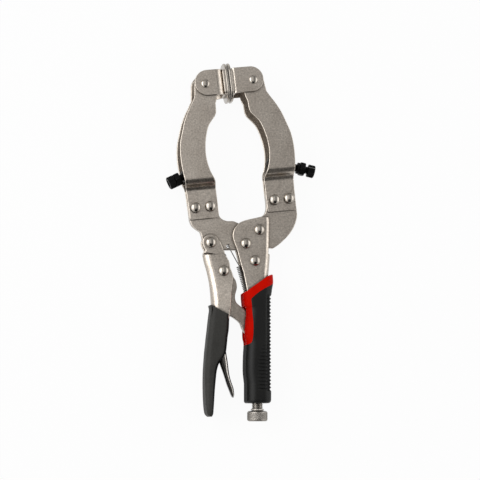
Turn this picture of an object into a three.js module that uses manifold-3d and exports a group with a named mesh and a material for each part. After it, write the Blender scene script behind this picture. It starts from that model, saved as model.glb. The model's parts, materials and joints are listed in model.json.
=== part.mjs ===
// Locking welding clamp with two swivel pads, lying on its back.
// X runs across the tool, Y from the adjusting knob towards the pads, Z up from the bench.
// The drawing frame has its origin on the main pivot, halfway through the thickness.
// All sizes are in millimetres and all angles in degrees.
import * as THREE from 'three';
import { mergeVertices } from 'three/addons/utils/BufferGeometryUtils.js';
import Module from 'manifold-3d';

const wasm = await Module();
wasm.setup();

// Clearances and overruns
const gap = 0.3;             // between pieces that move, or that one cuts out of the other
const overrun = 20;          // how far a cutting solid runs past what it cuts

// Plate and sheet stock
const jawPlate = 6;          // thickness of the two jaw plates
const armPlate = 3;          // thickness of the four arm plates
const armJoggle = 4;         // how far the arm plates step outwards
const handleSheet = 2;       // thickness of both handle channels
const padSheet = 1.5;        // thickness of the pad brackets
const padFacePlate = 1.8;    // thickness of the clamping plates
const linkPlate = 5;         // thickness of the toggle link
const leverPlate = 6;        // depth of the release lever

// Jaw arms, in the jaw frame: U across from the arms' centre line, V along it
const jawTilt = 7;           // lean of the jaw frame against the fixed handle
const jawShift = 1.3;        // centre line of the arms, right of the main pivot
const armBelly = 45.4;       // centre line to the widest part of an arm
const armFoot = 22.3;        // main pivot up to the arm's lower end
const armRise = 105.1;       // arm's lower end up to the pad pivot
const padPivotReach = 19.2;  // centre line to the pad pivot
const armEye = 8.5;          // radius of the arm's upper end round the pad pivot
const joggleMiddle = 27.8;   // arm's lower end up to the middle of the step
const joggleLength = 9.2;    // length of the step along the arm
const armRivetRise = 9.6;    // arm's lower end up to its rivets

// Jaw plates, in the jaw frame
const upperRivetOut = 12;    // main pivot to the fixed jaw's rivets
const upperRivetUp = 9.6;
const lowerRivetOut = 5.7;
const lowerRivetDown = 14.2;
const hubRadius = 7.6;       // round hub of the moving jaw at the main pivot
const hubRelief = 1;         // room between that hub and the fixed jaw
const bossMargin = 1.2;      // fixed jaw's metal round the lower rivet's head
const heelInset = 0.9;       // moving jaw's heel inside the handle's ear

// Pads
const padEndRadius = 10.1;   // round end of the pad bracket
const padEndInset = 1.9;     // its centre, towards the centre line from the pad pivot
const padRise = 0.7;         // bracket and face centre above the pad pivot
const padFaceHeight = 30.8;
const padFaceCorner = 9;
const padHalfGap = 0.6;      // half of the slit between the closed pads
const padBend = 2.6;         // outer radius of the bracket's bends

// Rivets
const rivetShank = 2.7;      // radius
const rivetHead = 4.05;      // radius
const rivetCrown = 2.3;      // height of the head
const padRivetHead = 3.4;
const padRivetCrown = 1.4;
const spacerRadius = 5;
const pinRadius = 1.5;       // spring anchor and lever pin
const rivetSides = 12;       // also of pins, bores and screws
const hexSides = 6;
const headSides = 20;        // of the side screws' heads
const knobSides = 24;

// Fixed handle, in the drawing frame
const handleWidth = 19.6;    // main pivot to the back of the spine
const handleDrop = 118;      // main pivot down to the channel's lower end
const cheekBelowFoot = 0.8;  // arm's lower end down to the top of the cheeks
const cheekDrop = 45;        // main pivot down to the channel's straight part
const waistBelowTop = 3.8;   // top of the cheeks down to where the spine starts to narrow
const screwRoom = 0.95;      // between the screw and the channel's cheeks
const screwBackRoom = 1.15;  // between the screw and the channel's spine
const flareBelow = 1.75;     // lower rivet's head down to where the fixed channel widens
const flareLength = 16;

// Moving handle and toggle
const pivotIn = 6.25;        // back of the moving spine to the handle pivot
const pivotUp = 0.23;        // main pivot up to the handle pivot
const linkPivotIn = 12.6;    // back of the moving spine to the link rivet
const linkPivotDown = 21.8;  // main pivot down to the link rivet
const earRadius = 6.5;
const movingReach = 34;      // main pivot across to the back of the moving spine
const movingThroat = 5.8;    // half the inside width of the moving channel in the grip
const movingFlareBelow = 3.15; // link rivet's head down to where the moving channel widens
const movingFlareLength = 18;
const linkEndRadius = 4.6;
const linkEndDown = 73.4;    // main pivot down to the centre of the link's round end
const linkRun = 2;           // room between the link's end and the screw's tip

// Release lever
const leverPinIn = 8.2;      // back of the moving spine to the lever's pin
const leverPinBelow = 10;    // the link's back down to it
const leverHub = 4;
const leverLength = 56;      // lever pin down to the lever's tip

// Adjusting screw
const screwRadius = 4.35;
const screwRoot = 3.75;
const screwPitch = 1.25;
const screwShow = 6;         // thread that shows below the grip
const collarHeight = 1.3;
const collarRadius = 4.9;
const knobRadius = 7.9;
const knobHeight = 8;
const knobRound = 1.6;
const nutLength = 11;        // threaded block in the fixed channel
const nutAbove = 1.5;        // channel's lower end up to the block

// Grips
const gripWall = 5.6;        // rubber over the cheeks of the fixed channel
const gripTop = 24;          // main pivot down to the fixed grip's upper end
const gripPast = 6;          // channel's lower end down to the fixed grip's lower end
const gripFront = 1.58;      // rubber in front of the fixed channel
const gripBack = 2.74;       // rubber behind its spine, out to the ribbed edge
const gripCorner = 6;
const gripSlotPast = 3.6;    // centre of the link's end down to the end of its slot
const accentPast = 3;        // the slot's end down to the end of the red accent
const gripSlotIn = 1.2;      // main pivot across to the slot's floor
const ribPitch = 2.75;
const ribDepth = 1.1;
const ribBelow = 8.6;        // red accent's edge down to the first groove
const ribEnd = 9;            // least room from the last groove to the grip's end
const dipWall = 1.5;         // thickness of the moving grip over its channel
const movingGripCorner = 2.8;
const narrowCornerShare = 0.45; // the corner's greatest share of a section's width
const movingGripLength = 86;
const movingGripPast = 4.5;  // channel's lower end down to the moving grip's lower end
const movingGripTop = 48.5;  // main pivot down to the moving grip's upper end
const leverSlotBelow = 43;   // lever's pin down to the end of its slot

// Side screws, placed where their axes cross the arms' outer edges
const sideCrossU = 45;
const sideCrossPast = 2.1;   // upper end of the arms' step up to the crossing
const sideAngle = 19;
const sideRadius = 3;
const sideRoot = 2.5;
const sidePitch = 1;
const sideTip = 21.5;        // from the crossing in to the screw's tip
const sideHeadRadius = 5;
const sideHeadLength = 5.4;
const socketRadius = 2.9;
const socketDepth = 3;
const jamNutRadius = 5.6;
const jamNutLength = 4.2;
const blockHalf = 4.2;       // half the width of the threaded blocks between the arm plates
const blockLength = 12;
const blockInset = 1.2;      // from the crossing in to the block
const washerRadius = 4.5;
const washerLength = 1.9;
const leftNutOut = 1.4;      // from the crossing out to the left jam nut
const rightNutOut = 4.9;
const rightHeadPast = 2.5;   // right jam nut out to the underside of the head

// Tension spring
const springWire = 0.85;
const springCoil = 4.4;      // outer diameter
const springCurls = 15;
const springHole = 1.3;      // radius of its hole in the moving jaw
const springHoleOut = 13.8;
const springHoleDown = 2.4;
const springTopOut = 5.6;    // upper end of the coil, across and down from the main pivot
const springTopDown = 17.2;
const springEndIn = 0.4;     // lower end of the coil
const springEndAbove = 5.8;  // anchor pin up to the same
const anchorIn = 4.2;        // anchor pin in the fixed channel
const anchorDown = 43;
const springEyeStart = 100;  // where the wire meets its eye round the pin
const springEyeSweep = 250;  // how far it goes round
const curlSteps = 8;
const wireSides = 5;

// Colours and surfaces
const metal = (color, roughness) => ({ color, roughness, metalness: 0.9 });
const nickel = metal(0x9a9087, 0.42);
const brightNickel = metal(0xb4aca4, 0.35);
const blackOxide = metal(0x1c1c1c, 0.5);
const steel = metal(0xa8a39c, 0.35);
const red = { color: 0xc81a08, roughness: 0.5, metalness: 0 };
const rubber = { color: 0x242421, roughness: 0.7, metalness: 0 };
const charcoal = { color: 0x3e3c38, roughness: 0.6, metalness: 0 };

const radians = THREE.MathUtils.degToRad;
const jawPlateHalf = jawPlate / 2;
const channelThroat = jawPlateHalf + gap; // half the inside width of both channels at the jaws
const screwThroat = screwRadius + screwRoom;
const gripHalf = screwThroat + handleSheet + gap + gripWall;
const armLow = jawPlateHalf;
const armHigh = jawPlateHalf + armJoggle;
const armTop = armHigh + armPlate;

// Points and outlines
const at = (x, y) => new THREE.Vector2(x, y);
const spread = (shares, width, height) => shares.map(([x, y]) => at(x * width, y * height));
const curve = (points, steps) => new THREE.SplineCurve(points).getPoints(steps);
const mirrored = (points) => points.map((p) => at(-p.x, p.y)).reverse();
const shifted = (points, dx, dy) => points.map((p) => at(p.x + dx, p.y + dy));

function arc(centre, radius, from, to, steps) {
  const points = [];
  for (let i = 0; i <= steps; i += 1) {
    const turn = radians(from + ((to - from) * i) / steps);
    points.push(at(centre.x + radius * Math.cos(turn), centre.y + radius * Math.sin(turn)));
  }
  return points;
}

// Jaw frame to drawing frame
function fromJaw(u, v) {
  const turn = radians(jawTilt);
  return at(u * Math.cos(turn) - v * Math.sin(turn), u * Math.sin(turn) + v * Math.cos(turn));
}

function toJaw(x, y) {
  const turn = radians(jawTilt);
  return at(x * Math.cos(turn) + y * Math.sin(turn), y * Math.cos(turn) - x * Math.sin(turn));
}

// Solids as geometries
function slab(points, low, high, holes = []) {
  const shape = new THREE.Shape(points);
  for (const { centre, radius } of holes) {
    shape.holes.push(new THREE.Path(arc(centre, radius, 0, 360, rivetSides).slice(1)));
  }
  const geometry = new THREE.ExtrudeGeometry(shape, { depth: high - low, bevelEnabled: false });
  return geometry.translate(0, 0, low);
}

// A slab whose outline is drawn in Y and Z, and which runs along X
function sideSlab(points, low, high) {
  const drawn = points.map((p) => at(-p.y, p.x));
  return slab(drawn, 0, high - low).rotateY(Math.PI / 2).translate(low, 0, 0);
}

// A slab whose outline is drawn in X and Z, and which runs along Y
function planSlab(points, low, high) {
  const drawn = points.map((p) => at(p.x, -p.y));
  return slab(drawn.reverse(), 0, high - low).rotateX(-Math.PI / 2).translate(0, low, 0);
}

function block(xLow, xHigh, yLow, yHigh, half) {
  return slab([at(xLow, yLow), at(xHigh, yLow), at(xHigh, yHigh), at(xLow, yHigh)], -half, half);
}

function turned(profile, sides) {
  return new THREE.LatheGeometry(profile, sides);
}

function rod(radius, length, sides) {
  return turned([at(0, 0), at(radius, 0), at(radius, length), at(0, length)], sides);
}

// Joining and cutting
function toSolid(geometry) {
  const bare = geometry.clone();
  bare.deleteAttribute('normal');
  bare.deleteAttribute('uv');
  const merged = mergeVertices(bare);
  const vertProperties = new Float32Array(merged.attributes.position.array);
  const triVerts = new Uint32Array(merged.index.array);
  return new wasm.Manifold(new wasm.Mesh({ numProp: 3, vertProperties, triVerts }));
}

function toGeometry(solid) {
  const mesh = solid.getMesh();
  const geometry = new THREE.BufferGeometry();
  geometry.setAttribute('position', new THREE.BufferAttribute(mesh.vertProperties, 3));
  geometry.setIndex(new THREE.BufferAttribute(mesh.triVerts, 1));
  return geometry;
}

function cut(geometry, ...tools) {
  return toGeometry(tools.reduce((solid, tool) => solid.subtract(toSolid(tool)), toSolid(geometry)));
}

function join(geometry, ...others) {
  return toGeometry(others.reduce((solid, other) => solid.add(toSolid(other)), toSolid(geometry)));
}

function common(geometry, ...others) {
  return toGeometry(others.reduce((solid, other) => solid.intersect(toSolid(other)), toSolid(geometry)));
}

// Scene graph helpers
function piece(name, geometry, finish) {
  const mesh = new THREE.Mesh(geometry, new THREE.MeshStandardMaterial(finish));
  mesh.name = name;
  return mesh;
}

function group(parent, x, y, turn = 0) {
  const child = new THREE.Group();
  child.position.set(x, y, 0);
  child.rotation.z = radians(turn);
  parent.add(child);
  return child;
}

// Rivets: domed at both ends, standing along Z
function rivet(shank, head, crown, grip) {
  const crownShares = [[0.6, 1], [0.93, 0.55]];
  const upper = crownShares.map(([r, h]) => at(head * r, grip + crown * h));
  const lower = upper.map((p) => at(p.x, -p.y));
  const profile = [at(0, -grip - crown), ...lower, at(head, -grip), at(shank, -grip),
    at(shank, grip), at(head, grip), ...upper.reverse(), at(0, grip + crown)];
  return turned(profile, rivetSides).rotateX(Math.PI / 2);
}

function crossPin(radius, half) {
  return rod(radius, half * 2, rivetSides).translate(0, -half, 0).rotateX(Math.PI / 2);
}

const rivetHole = rivetShank + gap;

// Bolt along Y: head above zero, grooved shank below it
function groovedShank(radius, root, pitch, length, plain) {
  const profile = [at(0, 0), at(root, 0)];
  let y = 0;
  for (let i = 0; y + pitch < length - plain; i += 1) {
    profile.push(at(radius, y + pitch / 2), at(root, y + pitch));
    y += pitch;
  }
  profile.push(at(radius, y + pitch / 2), at(radius, length), at(0, length));
  return turned(profile, rivetSides);
}

// Jaw arms
const armOuterShares = [
  [0.94, 0], [0.947, 0.168], [0.958, 0.254], [0.987, 0.349], [1, 0.444], [0.993, 0.525],
  [0.967, 0.592], [0.912, 0.668], [0.855, 0.739], [0.775, 0.809], [0.692, 0.867], [0.636, 0.911],
];
const armInnerShares = [
  [0.24, 0.911], [0.256, 0.875], [0.28, 0.847], [0.285, 0.8], [0.296, 0.774], [0.33, 0.747],
  [0.396, 0.715], [0.452, 0.68], [0.498, 0.627], [0.535, 0.559], [0.553, 0.482], [0.542, 0.411],
  [0.507, 0.344], [0.467, 0.302], [0.437, 0.268], [0.4275, 0.225], [0.4295, 0],
];
const armFootInner = armBelly * armInnerShares.at(-1)[0];
const armFootWidth = armBelly * armOuterShares[0][0] - armFootInner;
const armRivetShares = { inner: 0.267, outer: 0.772 };
const armRivetSpots = {
  inner: at(armFootInner + armFootWidth * armRivetShares.inner, armFoot + armRivetRise),
  outer: at(armFootInner + armFootWidth * armRivetShares.outer, armFoot + armRivetRise),
};
const padPivot = at(padPivotReach, armFoot + armRise);

function armOutline() {
  const outer = curve(spread(armOuterShares, armBelly, armRise), 18);
  const inner = curve(spread(armInnerShares, armBelly, armRise), 26);
  const eye = arc(at(padPivotReach, armRise), armEye, 0, 180, 10);
  return shifted([...outer, ...eye, ...inner], 0, armFoot);
}

// The step from the jaw plate out to the pad bracket, as a band in V and Z
function armBand() {
  const under = [at(armFoot - overrun, armLow)];
  const steps = 6;
  for (let i = 0; i <= steps; i += 1) {
    const share = i / steps;
    const rise = (1 - Math.cos(Math.PI * share)) / 2;
    const v = armFoot + joggleMiddle + joggleLength * (share - 1 / 2);
    under.push(at(v, armLow + armJoggle * rise));
  }
  under.push(at(padPivot.y + armEye + overrun, armHigh));
  const over = under.map((p) => at(p.x, p.y + armPlate)).reverse();
  return [...under, ...over];
}

function armPlateGeometry(side) {
  const outline = side > 0 ? armOutline() : mirrored(armOutline());
  const centred = shifted(outline, jawShift, 0);
  const spots = [armRivetSpots.inner, armRivetSpots.outer, padPivot];
  const holes = spots.map((p) => ({ centre: at(side * p.x + jawShift, p.y), radius: rivetHole }));
  const prism = slab(centred, 0, armTop + overrun, holes);
  return common(prism, sideSlab(armBand(), -armBelly - overrun, armBelly + overrun));
}

// A rear plate is the other side's front plate turned over
function armPlateFor(side, face) {
  if (face > 0) return armPlateGeometry(side);
  const flipped = armPlateGeometry(-side).translate(-jawShift, 0, 0).rotateY(Math.PI);
  return flipped.translate(jawShift, 0, 0);
}

// Jaw plates, points as shares of the arms' half width and of their foot's height
const fixedJawRightShares = [
  [0.268, -0.474], [0.332, -0.313], [0.382, -0.256], [0.432, -0.236], [0.469, -0.264],
  [0.506, -0.238], [0.584, -0.153], [0.661, -0.044], [0.74, 0.081], [0.822, 0.242], [0.896, 0.444],
  [0.945, 0.646], [0.969, 0.821], [0.972, 0.999],
];
const fixedJawLeftShares = [
  [0.447, 1.211], [0.427, 1.072], [0.394, 0.954], [0.348, 0.91], [0.268, 0.807], [0.178, 0.676],
  [0.124, 0.464],
];
const movingJawLeftShares = [[-0.826, 0.69], [-0.882, 0.807], [-0.909, 0.969]];
const movingJawTopShares = [
  [-0.401, 1.17], [-0.393, 1.063], [-0.364, 0.969], [-0.324, 0.906], [-0.256, 0.856],
  [-0.152, 0.829], [-0.11, 0.781], [-0.061, 0.722], [0.01, 0.605], [0.059, 0.444],
];

// The moving jaw's heel, points as shares of the handle pivot's distance
const heelUnderShares = [[-0.272, -0.154], [-0.645, -0.112], [-0.973, -0.071]];
const heelLeftShares = [[-1.207, 0.227], [-1.218, 0.371], [-1.247, 0.472]];
const pivotOut = movingReach - pivotIn;
const tongueTop = armFoot + joggleMiddle - joggleLength;

const upperRivet = at(upperRivetOut, upperRivetUp);
const lowerRivet = at(lowerRivetOut, -lowerRivetDown);
const lowerBoss = rivetHead + bossMargin;

// The part of a jaw plate that lies between the arm plates
function tongue(side) {
  const round = rivetShank;
  const outerEdge = side * (armBelly * armOuterShares[0][0] - gap) + jawShift;
  const innerEdge = side * (armFootInner + gap) + jawShift;
  return {
    outer: [at(outerEdge, tongueTop - round), at(outerEdge - side * round, tongueTop)],
    inner: [at(innerEdge + side * round, tongueTop), at(innerEdge, tongueTop - round)],
  };
}

function armHoles(side) {
  return [armRivetSpots.inner, armRivetSpots.outer]
    .map((p) => ({ centre: at(side * p.x + jawShift, p.y), radius: rivetHole }));
}

function fixedJawOutline() {
  const { outer, inner } = tongue(1);
  const right = spread(fixedJawRightShares, armBelly, armFoot);
  const left = spread(fixedJawLeftShares, armBelly, armFoot);
  const boss = arc(lowerRivet, lowerBoss, 185, 320, 8);
  const relief = arc(at(0, 0), hubRadius + hubRelief, 62, -85, 12);
  return [...relief, ...boss, ...right, ...outer, ...inner, ...left];
}

function fixedJawGeometry() {
  const holes = [...armHoles(1), { centre: upperRivet, radius: rivetHole },
    { centre: lowerRivet, radius: rivetHole }];
  return slab(fixedJawOutline(), -jawPlateHalf, jawPlateHalf, holes);
}

// The lowest point of an outline on the right of a line along Y
function lowestPast(points, x) {
  let lowest = Infinity;
  points.forEach((p, i) => {
    const next = points[(i + 1) % points.length];
    if (p.x >= x) lowest = Math.min(lowest, p.y);
    if ((p.x - x) * (next.x - x) < 0) {
      lowest = Math.min(lowest, p.y + ((next.y - p.y) * (x - p.x)) / (next.x - p.x));
    }
  });
  return lowest;
}

const handlePivot = toJaw(-pivotOut, pivotUp);
const springEye = toJaw(-springHoleOut, -springHoleDown);

function movingJawGeometry() {
  const { outer, inner } = tongue(-1);
  const hub = arc(at(0, 0), hubRadius, 60, -145, 16);
  const heel = arc(handlePivot, earRadius - heelInset, 265, 180, 6);
  const under = spread(heelUnderShares, pivotOut, pivotOut);
  const left = [...spread(heelLeftShares, pivotOut, pivotOut),
    ...spread(movingJawLeftShares, armBelly, armFoot)];
  const top = spread(movingJawTopShares, armBelly, armFoot);
  const points = [...hub, ...under, ...heel, ...left, ...outer, ...inner, ...top].reverse();
  const holes = [...armHoles(-1), { centre: at(0, 0), radius: rivetHole },
    { centre: handlePivot, radius: rivetHole }, { centre: springEye, radius: springHole }];
  return slab(points, -jawPlateHalf, jawPlateHalf, holes);
}

// Pads, drawn for the right side round the pad pivot and turned over for the left
function roundedBox(xLow, xHigh, yLow, yHigh, radius, steps) {
  return [
    ...arc(at(xHigh - radius, yLow + radius), radius, -90, 0, steps),
    ...arc(at(xHigh - radius, yHigh - radius), radius, 0, 90, steps),
    ...arc(at(xLow + radius, yHigh - radius), radius, 90, 180, steps),
    ...arc(at(xLow + radius, yLow + radius), radius, 180, 270, steps),
  ];
}

const padInner = armTop + gap;                      // inside of the pad bracket
const padOuter = padInner + padSheet;               // outside of the pad bracket
const padFaceIn = padHalfGap - padPivotReach;       // clamping face, from the pad pivot
const padFaceOut = padFaceIn + padFacePlate;
const padWebIn = padFaceOut + gap;

function padBracketGeometry() {
  const centre = at(-padEndInset, padRise);
  const flange = [...arc(centre, padEndRadius, -90, 90, 14),
    at(padWebIn, centre.y + padEndRadius), at(padWebIn, centre.y - padEndRadius)];
  const holes = [{ centre: at(0, 0), radius: rivetHole }];
  const body = slab(flange, -padOuter, padOuter, holes);
  const far = centre.x + padEndRadius + overrun;
  const outside = roundedBox(padWebIn, far, -padOuter, padOuter, padBend, 4);
  const inside = roundedBox(padWebIn + padSheet, far + overrun, -padInner, padInner, padBend - padSheet, 3);
  const low = centre.y - padEndRadius - overrun;
  const high = centre.y + padEndRadius + overrun;
  return cut(common(body, planSlab(outside, low, high)), planSlab(inside, low, high));
}

function padFaceGeometry() {
  const low = padRise - padFaceHeight / 2;
  const outline = roundedBox(low, low + padFaceHeight, -padOuter, padOuter, padFaceCorner, 5);
  return sideSlab(outline, padFaceIn, padFaceOut);
}

function turnedOver(geometry, side) {
  return side > 0 ? geometry : geometry.rotateY(Math.PI);
}

// Channels
const cheekReach = armFoot - cheekBelowFoot;
const waistRise = cheekReach - waistBelowTop;
const flareStart = lowerRivetDown + rivetHead + flareBelow;
const flareEnd = flareStart + flareLength;

function flareProfile(inner, outer, start, end, extra, top, bottom) {
  const right = [at(top, inner + extra), at(-start, inner + extra), at(-end, outer + extra),
    at(bottom, outer + extra)];
  const left = right.map((p) => at(p.x, -p.y)).reverse();
  return [...right, ...left];
}

const fixedSpineShares = [
  [0.975, -0.105], [0.954, -0.278], [0.923, -0.451], [0.893, -0.54], [0.88265, -0.76],
];
const cheekTopShares = [
  [0.964, 1], [0.65, 1], [0.485, 0.963], [0.286, 0.921], [0.082, 0.874], [-0.122, 0.814], [-0.26, 0.75],
];
const cheekLeftShares = [
  [-0.403, 0.62], [-0.495, 0.477], [-0.535, 0.291], [-0.525, 0.187], [-0.464, 0],
];
const cheekLowerShares = [
  [-0.383, -0.084], [-0.321, -0.17], [-0.25, -0.294], [-0.184, -0.396], [-0.107, -0.501],
  [-0.061, -0.606], [-0.02, -0.708], [0.02, -0.813],
];
const spineSlotRoom = 0.55;  // under the fixed jaw, where it passes through the spine
const channelLeftShare = 0.05; // left edge of the channel's straight part, of its width

const fixedSpine = spread(fixedSpineShares, handleWidth, cheekDrop);
const spineBack = fixedSpine.at(-1).x;
const screwAxis = spineBack - handleSheet - screwBackRoom - screwRadius;

function fixedLeft() {
  const upper = spread(cheekLeftShares, handleWidth, cheekReach);
  const lower = spread(cheekLowerShares, handleWidth, cheekDrop);
  return curve([...upper, ...lower], 20);
}

function fixedOuter() {
  const top = spread(cheekTopShares, handleWidth, cheekReach);
  const left = handleWidth * channelLeftShare;
  const lower = [at(left, -cheekDrop), at(left, -handleDrop), at(spineBack, -handleDrop)];
  const corner = [at(handleWidth, waistRise), at(handleWidth, cheekReach - handleSheet / 2)];
  return [...top, ...fixedLeft(), ...lower, ...[...fixedSpine].reverse(), ...corner];
}

function fixedVoid() {
  const inside = shifted(fixedSpine, -handleSheet, 0).reverse();
  const low = -handleDrop - overrun;
  const top = cheekReach + overrun;
  const back = handleWidth - handleSheet;
  return [at(-handleWidth, low), at(inside[0].x, low), ...inside, at(back, waistRise), at(back, top),
    at(-handleWidth, top)];
}

const handleFar = handleWidth + overrun;

// The outside of the fixed channel in Y and Z, grown by a clearance
function fixedFlare(extra) {
  return flareProfile(channelThroat, screwThroat, flareStart, flareEnd, handleSheet + extra,
    cheekReach + overrun, -handleDrop - overrun);
}

function fixedShellGeometry() {
  const inner = flareProfile(channelThroat, screwThroat, flareStart, flareEnd, 0,
    cheekReach + overrun * 2, -handleDrop - overrun * 2);
  const tall = gripHalf;
  const holes = [upperRivet, lowerRivet, at(0, 0)]
    .map((p) => ({ centre: fromJaw(p.x, p.y), radius: rivetHole }));
  holes.push({ centre: at(anchorIn, -anchorDown), radius: pinRadius + gap });
  const across = (profile) => sideSlab(profile, -handleFar, handleFar);
  const outer = common(slab(fixedOuter(), -tall, tall, holes), across(fixedFlare(0)));
  const space = common(slab(fixedVoid(), -tall, tall), across(inner));
  const jawOutline = fixedJawOutline().map((p) => fromJaw(p.x, p.y));
  const slotLow = lowestPast(jawOutline, handleWidth - handleSheet) - spineSlotRoom;
  const slot = block(handleWidth - handleSheet * 2, handleFar, slotLow, handleFar, channelThroat);
  return cut(outer, space, slot);
}

// Moving handle channel, points as shares of its reach across and down.
// Down, 0 is the main pivot, 1 the grip's upper end and 2 the grip's lower end.
const movingSpineShares = [
  [-1, 0.182], [-0.974, 0.263], [-0.941, 0.356], [-0.9, 0.437], [-0.871, 0.533], [-0.838, 0.63],
  [-0.818, 0.726], [-0.8, 0.823], [-0.78, 0.981], [-0.806, 1.134], [-0.841, 1.296], [-0.876, 1.425],
  [-0.9, 1.611], [-0.894, 1.739], [-0.871, 1.925],
];
const movingRightShares = [
  [-0.794, 1.948], [-0.774, 1.925], [-0.759, 1.843], [-0.735, 1.692], [-0.691, 1.582],
  [-0.638, 1.517], [-0.553, 1.464], [-0.494, 1.4], [-0.456, 1.286], [-0.426, 1.215],
  [-0.412, 1.134], [-0.382, 1.086], [-0.347, 0.836], [-0.338, 0.756], [-0.315, 0.643],
  [-0.291, 0.547], [-0.315, 0.482], [-0.362, 0.397], [-0.382, 0.308], [-0.465, 0.196],
  [-0.512, 0.115], [-0.559, 0.035], [-0.594, -0.029],
];
const linkSpineShare = 0.885;  // back of the spine at the link rivet, of the reach
const linkPivotOut = movingReach * linkSpineShare - linkPivotIn;
const movingFlareStart = linkPivotDown + rivetHead + movingFlareBelow;
const movingFlareEnd = movingFlareStart + movingFlareLength;
const movingGripHalf = movingThroat + handleSheet + gap + dipWall;
const movingDrop = movingGripTop + movingGripLength - movingGripPast;

function onMoving([across, down]) {
  const alongGrip = Math.max(down - 1, 0) * movingGripLength;
  return at(across * movingReach, -Math.min(down, 1) * movingGripTop - alongGrip);
}

const movingNeckShares = [
  [-0.965, 0.088], [-0.936, 0.126], [-0.965, 0.161],
];

const leverSpineShare = 0.815; // back of the spine at the lever's pin, of the reach
const linkBackShare = 0.735; // lowest of the link's back, of the link's drop
const leverPinOut = movingReach * leverSpineShare - leverPinIn;
const leverPinDown = linkEndDown * linkBackShare + leverPinBelow;

function movingOuter() {
  const spine = movingSpineShares.map(onMoving);
  const right = movingRightShares.map(onMoving);
  const neck = movingNeckShares.map(onMoving);
  const ear = arc(at(-pivotOut, pivotUp), earRadius, 25, 190, 12);
  return [...ear, ...neck, ...spine, ...right];
}

function movingVoid() {
  const spine = movingSpineShares.map(onMoving);
  const inside = shifted(spine, handleSheet, 0);
  const top = spine[0].y;
  return [at(-movingReach - overrun, pivotUp + overrun), at(-movingReach - overrun, top),
    at(inside[0].x, top), ...inside.slice(1), at(inside.at(-1).x, -movingDrop - overrun),
    at(movingReach, -movingDrop - overrun), at(movingReach, pivotUp + overrun)];
}

function movingShellGeometry() {
  const far = movingReach + overrun;
  const flare = (extra, reach) => flareProfile(channelThroat, movingThroat, movingFlareStart, movingFlareEnd,
    extra, reach, -movingDrop - reach);
  const holes = [
    { centre: at(-pivotOut, pivotUp), radius: rivetHole },
    { centre: at(-linkPivotOut, -linkPivotDown), radius: rivetHole },
    { centre: at(-leverPinOut, -leverPinDown), radius: pinRadius + gap },
  ];
  const outer = common(slab(movingOuter(), -gripHalf, gripHalf, holes),
    sideSlab(flare(handleSheet, overrun), -far, far));
  const space = common(slab(movingVoid(), -gripHalf, gripHalf), sideSlab(flare(0, overrun * 2), -far, far));
  return cut(outer, space);
}

// Toggle link, as shares of its length from the link rivet to its round end
const linkRightShares = [
  [-0.306, -0.364], [-0.265, -0.389], [-0.235, -0.426], [-0.224, -0.464], [-0.245, -0.507], [-0.272, -0.549],
  [-0.272, -0.591], [-0.238, -0.629], [-0.17, -0.655], [-0.065, -0.687], [0.068, -0.736], [0.22, -0.8],
];
const linkLeftShares = [
  [0.2, -1.05], [0.051, -0.988], [-0.082, -0.908], [-0.146, -0.846], [-0.224, -0.817], [-0.306, -0.793],
  [-0.398, -0.771], [-0.52, -0.735], [-0.6, -0.66], [-0.67, -0.55], [-0.745, -0.42],
];
const linkInset = 4.6;       // the link's reach across, inside the moving spine
const linkSpan = movingReach - linkInset;
const linkBoss = 6;

function linkGeometry() {
  const right = curve(spread(linkRightShares, linkSpan, linkEndDown), 18);
  const left = curve(spread(linkLeftShares, linkSpan, linkEndDown), 14);
  const end = arc(at(screwAxis, -linkEndDown), linkEndRadius, 35, -125, 8);
  const boss = arc(at(-linkPivotOut, -linkPivotDown), linkBoss, 195, 0, 10);
  const points = [...boss, ...right, ...end, ...left].reverse();
  const holes = [{ centre: at(-linkPivotOut, -linkPivotDown), radius: rivetHole }];
  return slab(points, -linkPlate / 2, linkPlate / 2, holes);
}

// Release lever, as shares of its length from its pin
const leverRightShares = [
  [0.075, 0.03], [0.06, -0.15], [0.075, -0.3], [0.088, -0.4], [0.103, -0.49], [0.115, -0.585],
  [0.128, -0.684], [0.15, -0.768], [0.178, -0.845], [0.19, -0.9], [0.192, -0.96],
];
const leverLeftShares = [
  [0.181, -0.998], [0.166, -0.985], [0.15, -0.955], [0.122, -0.888], [0.094, -0.82], [0.068, -0.738],
  [0.04, -0.654], [0.012, -0.578], [-0.01, -0.515], [-0.035, -0.4], [-0.065, -0.25], [-0.075, -0.1],
];
const leverNoseShares = [[-0.02, 0.11], [0.04, 0.115]];

function leverGeometry() {
  const right = curve(spread(leverRightShares, leverLength, leverLength), 16);
  const left = curve(spread(leverLeftShares, leverLength, leverLength), 18);
  const nose = spread(leverNoseShares, leverLength, leverLength);
  const hub = arc(at(0, 0), leverHub, 190, 130, 4);
  const points = [...right, ...left, ...hub, ...nose].reverse();
  const holes = [{ centre: at(0, 0), radius: pinRadius + gap }];
  return slab(points, -leverPlate / 2, leverPlate / 2, holes);
}

// Lofted bodies: rounded sections in X and Z stacked along Y, from the top down
function section(xLow, xHigh, half, corner, y) {
  return roundedBox(xLow, xHigh, -half, half, corner, 3).map((p) => new THREE.Vector3(p.x, y, p.y));
}

function loft(sections) {
  const count = sections[0].length;
  const positions = sections.flat().flatMap((p) => [p.x, p.y, p.z]);
  const index = [];
  for (let s = 0; s + 1 < sections.length; s += 1) {
    for (let i = 0; i < count; i += 1) {
      const a = s * count + i;
      const b = s * count + ((i + 1) % count);
      index.push(a, b, a + count, b, b + count, a + count);
    }
  }
  const last = (sections.length - 1) * count;
  for (let i = 1; i + 1 < count; i += 1) {
    index.push(0, i + 1, i, last, last + i, last + i + 1);
  }
  const geometry = new THREE.BufferGeometry();
  geometry.setAttribute('position', new THREE.Float32BufferAttribute(positions, 3));
  geometry.setIndex(index);
  return geometry;
}

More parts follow.
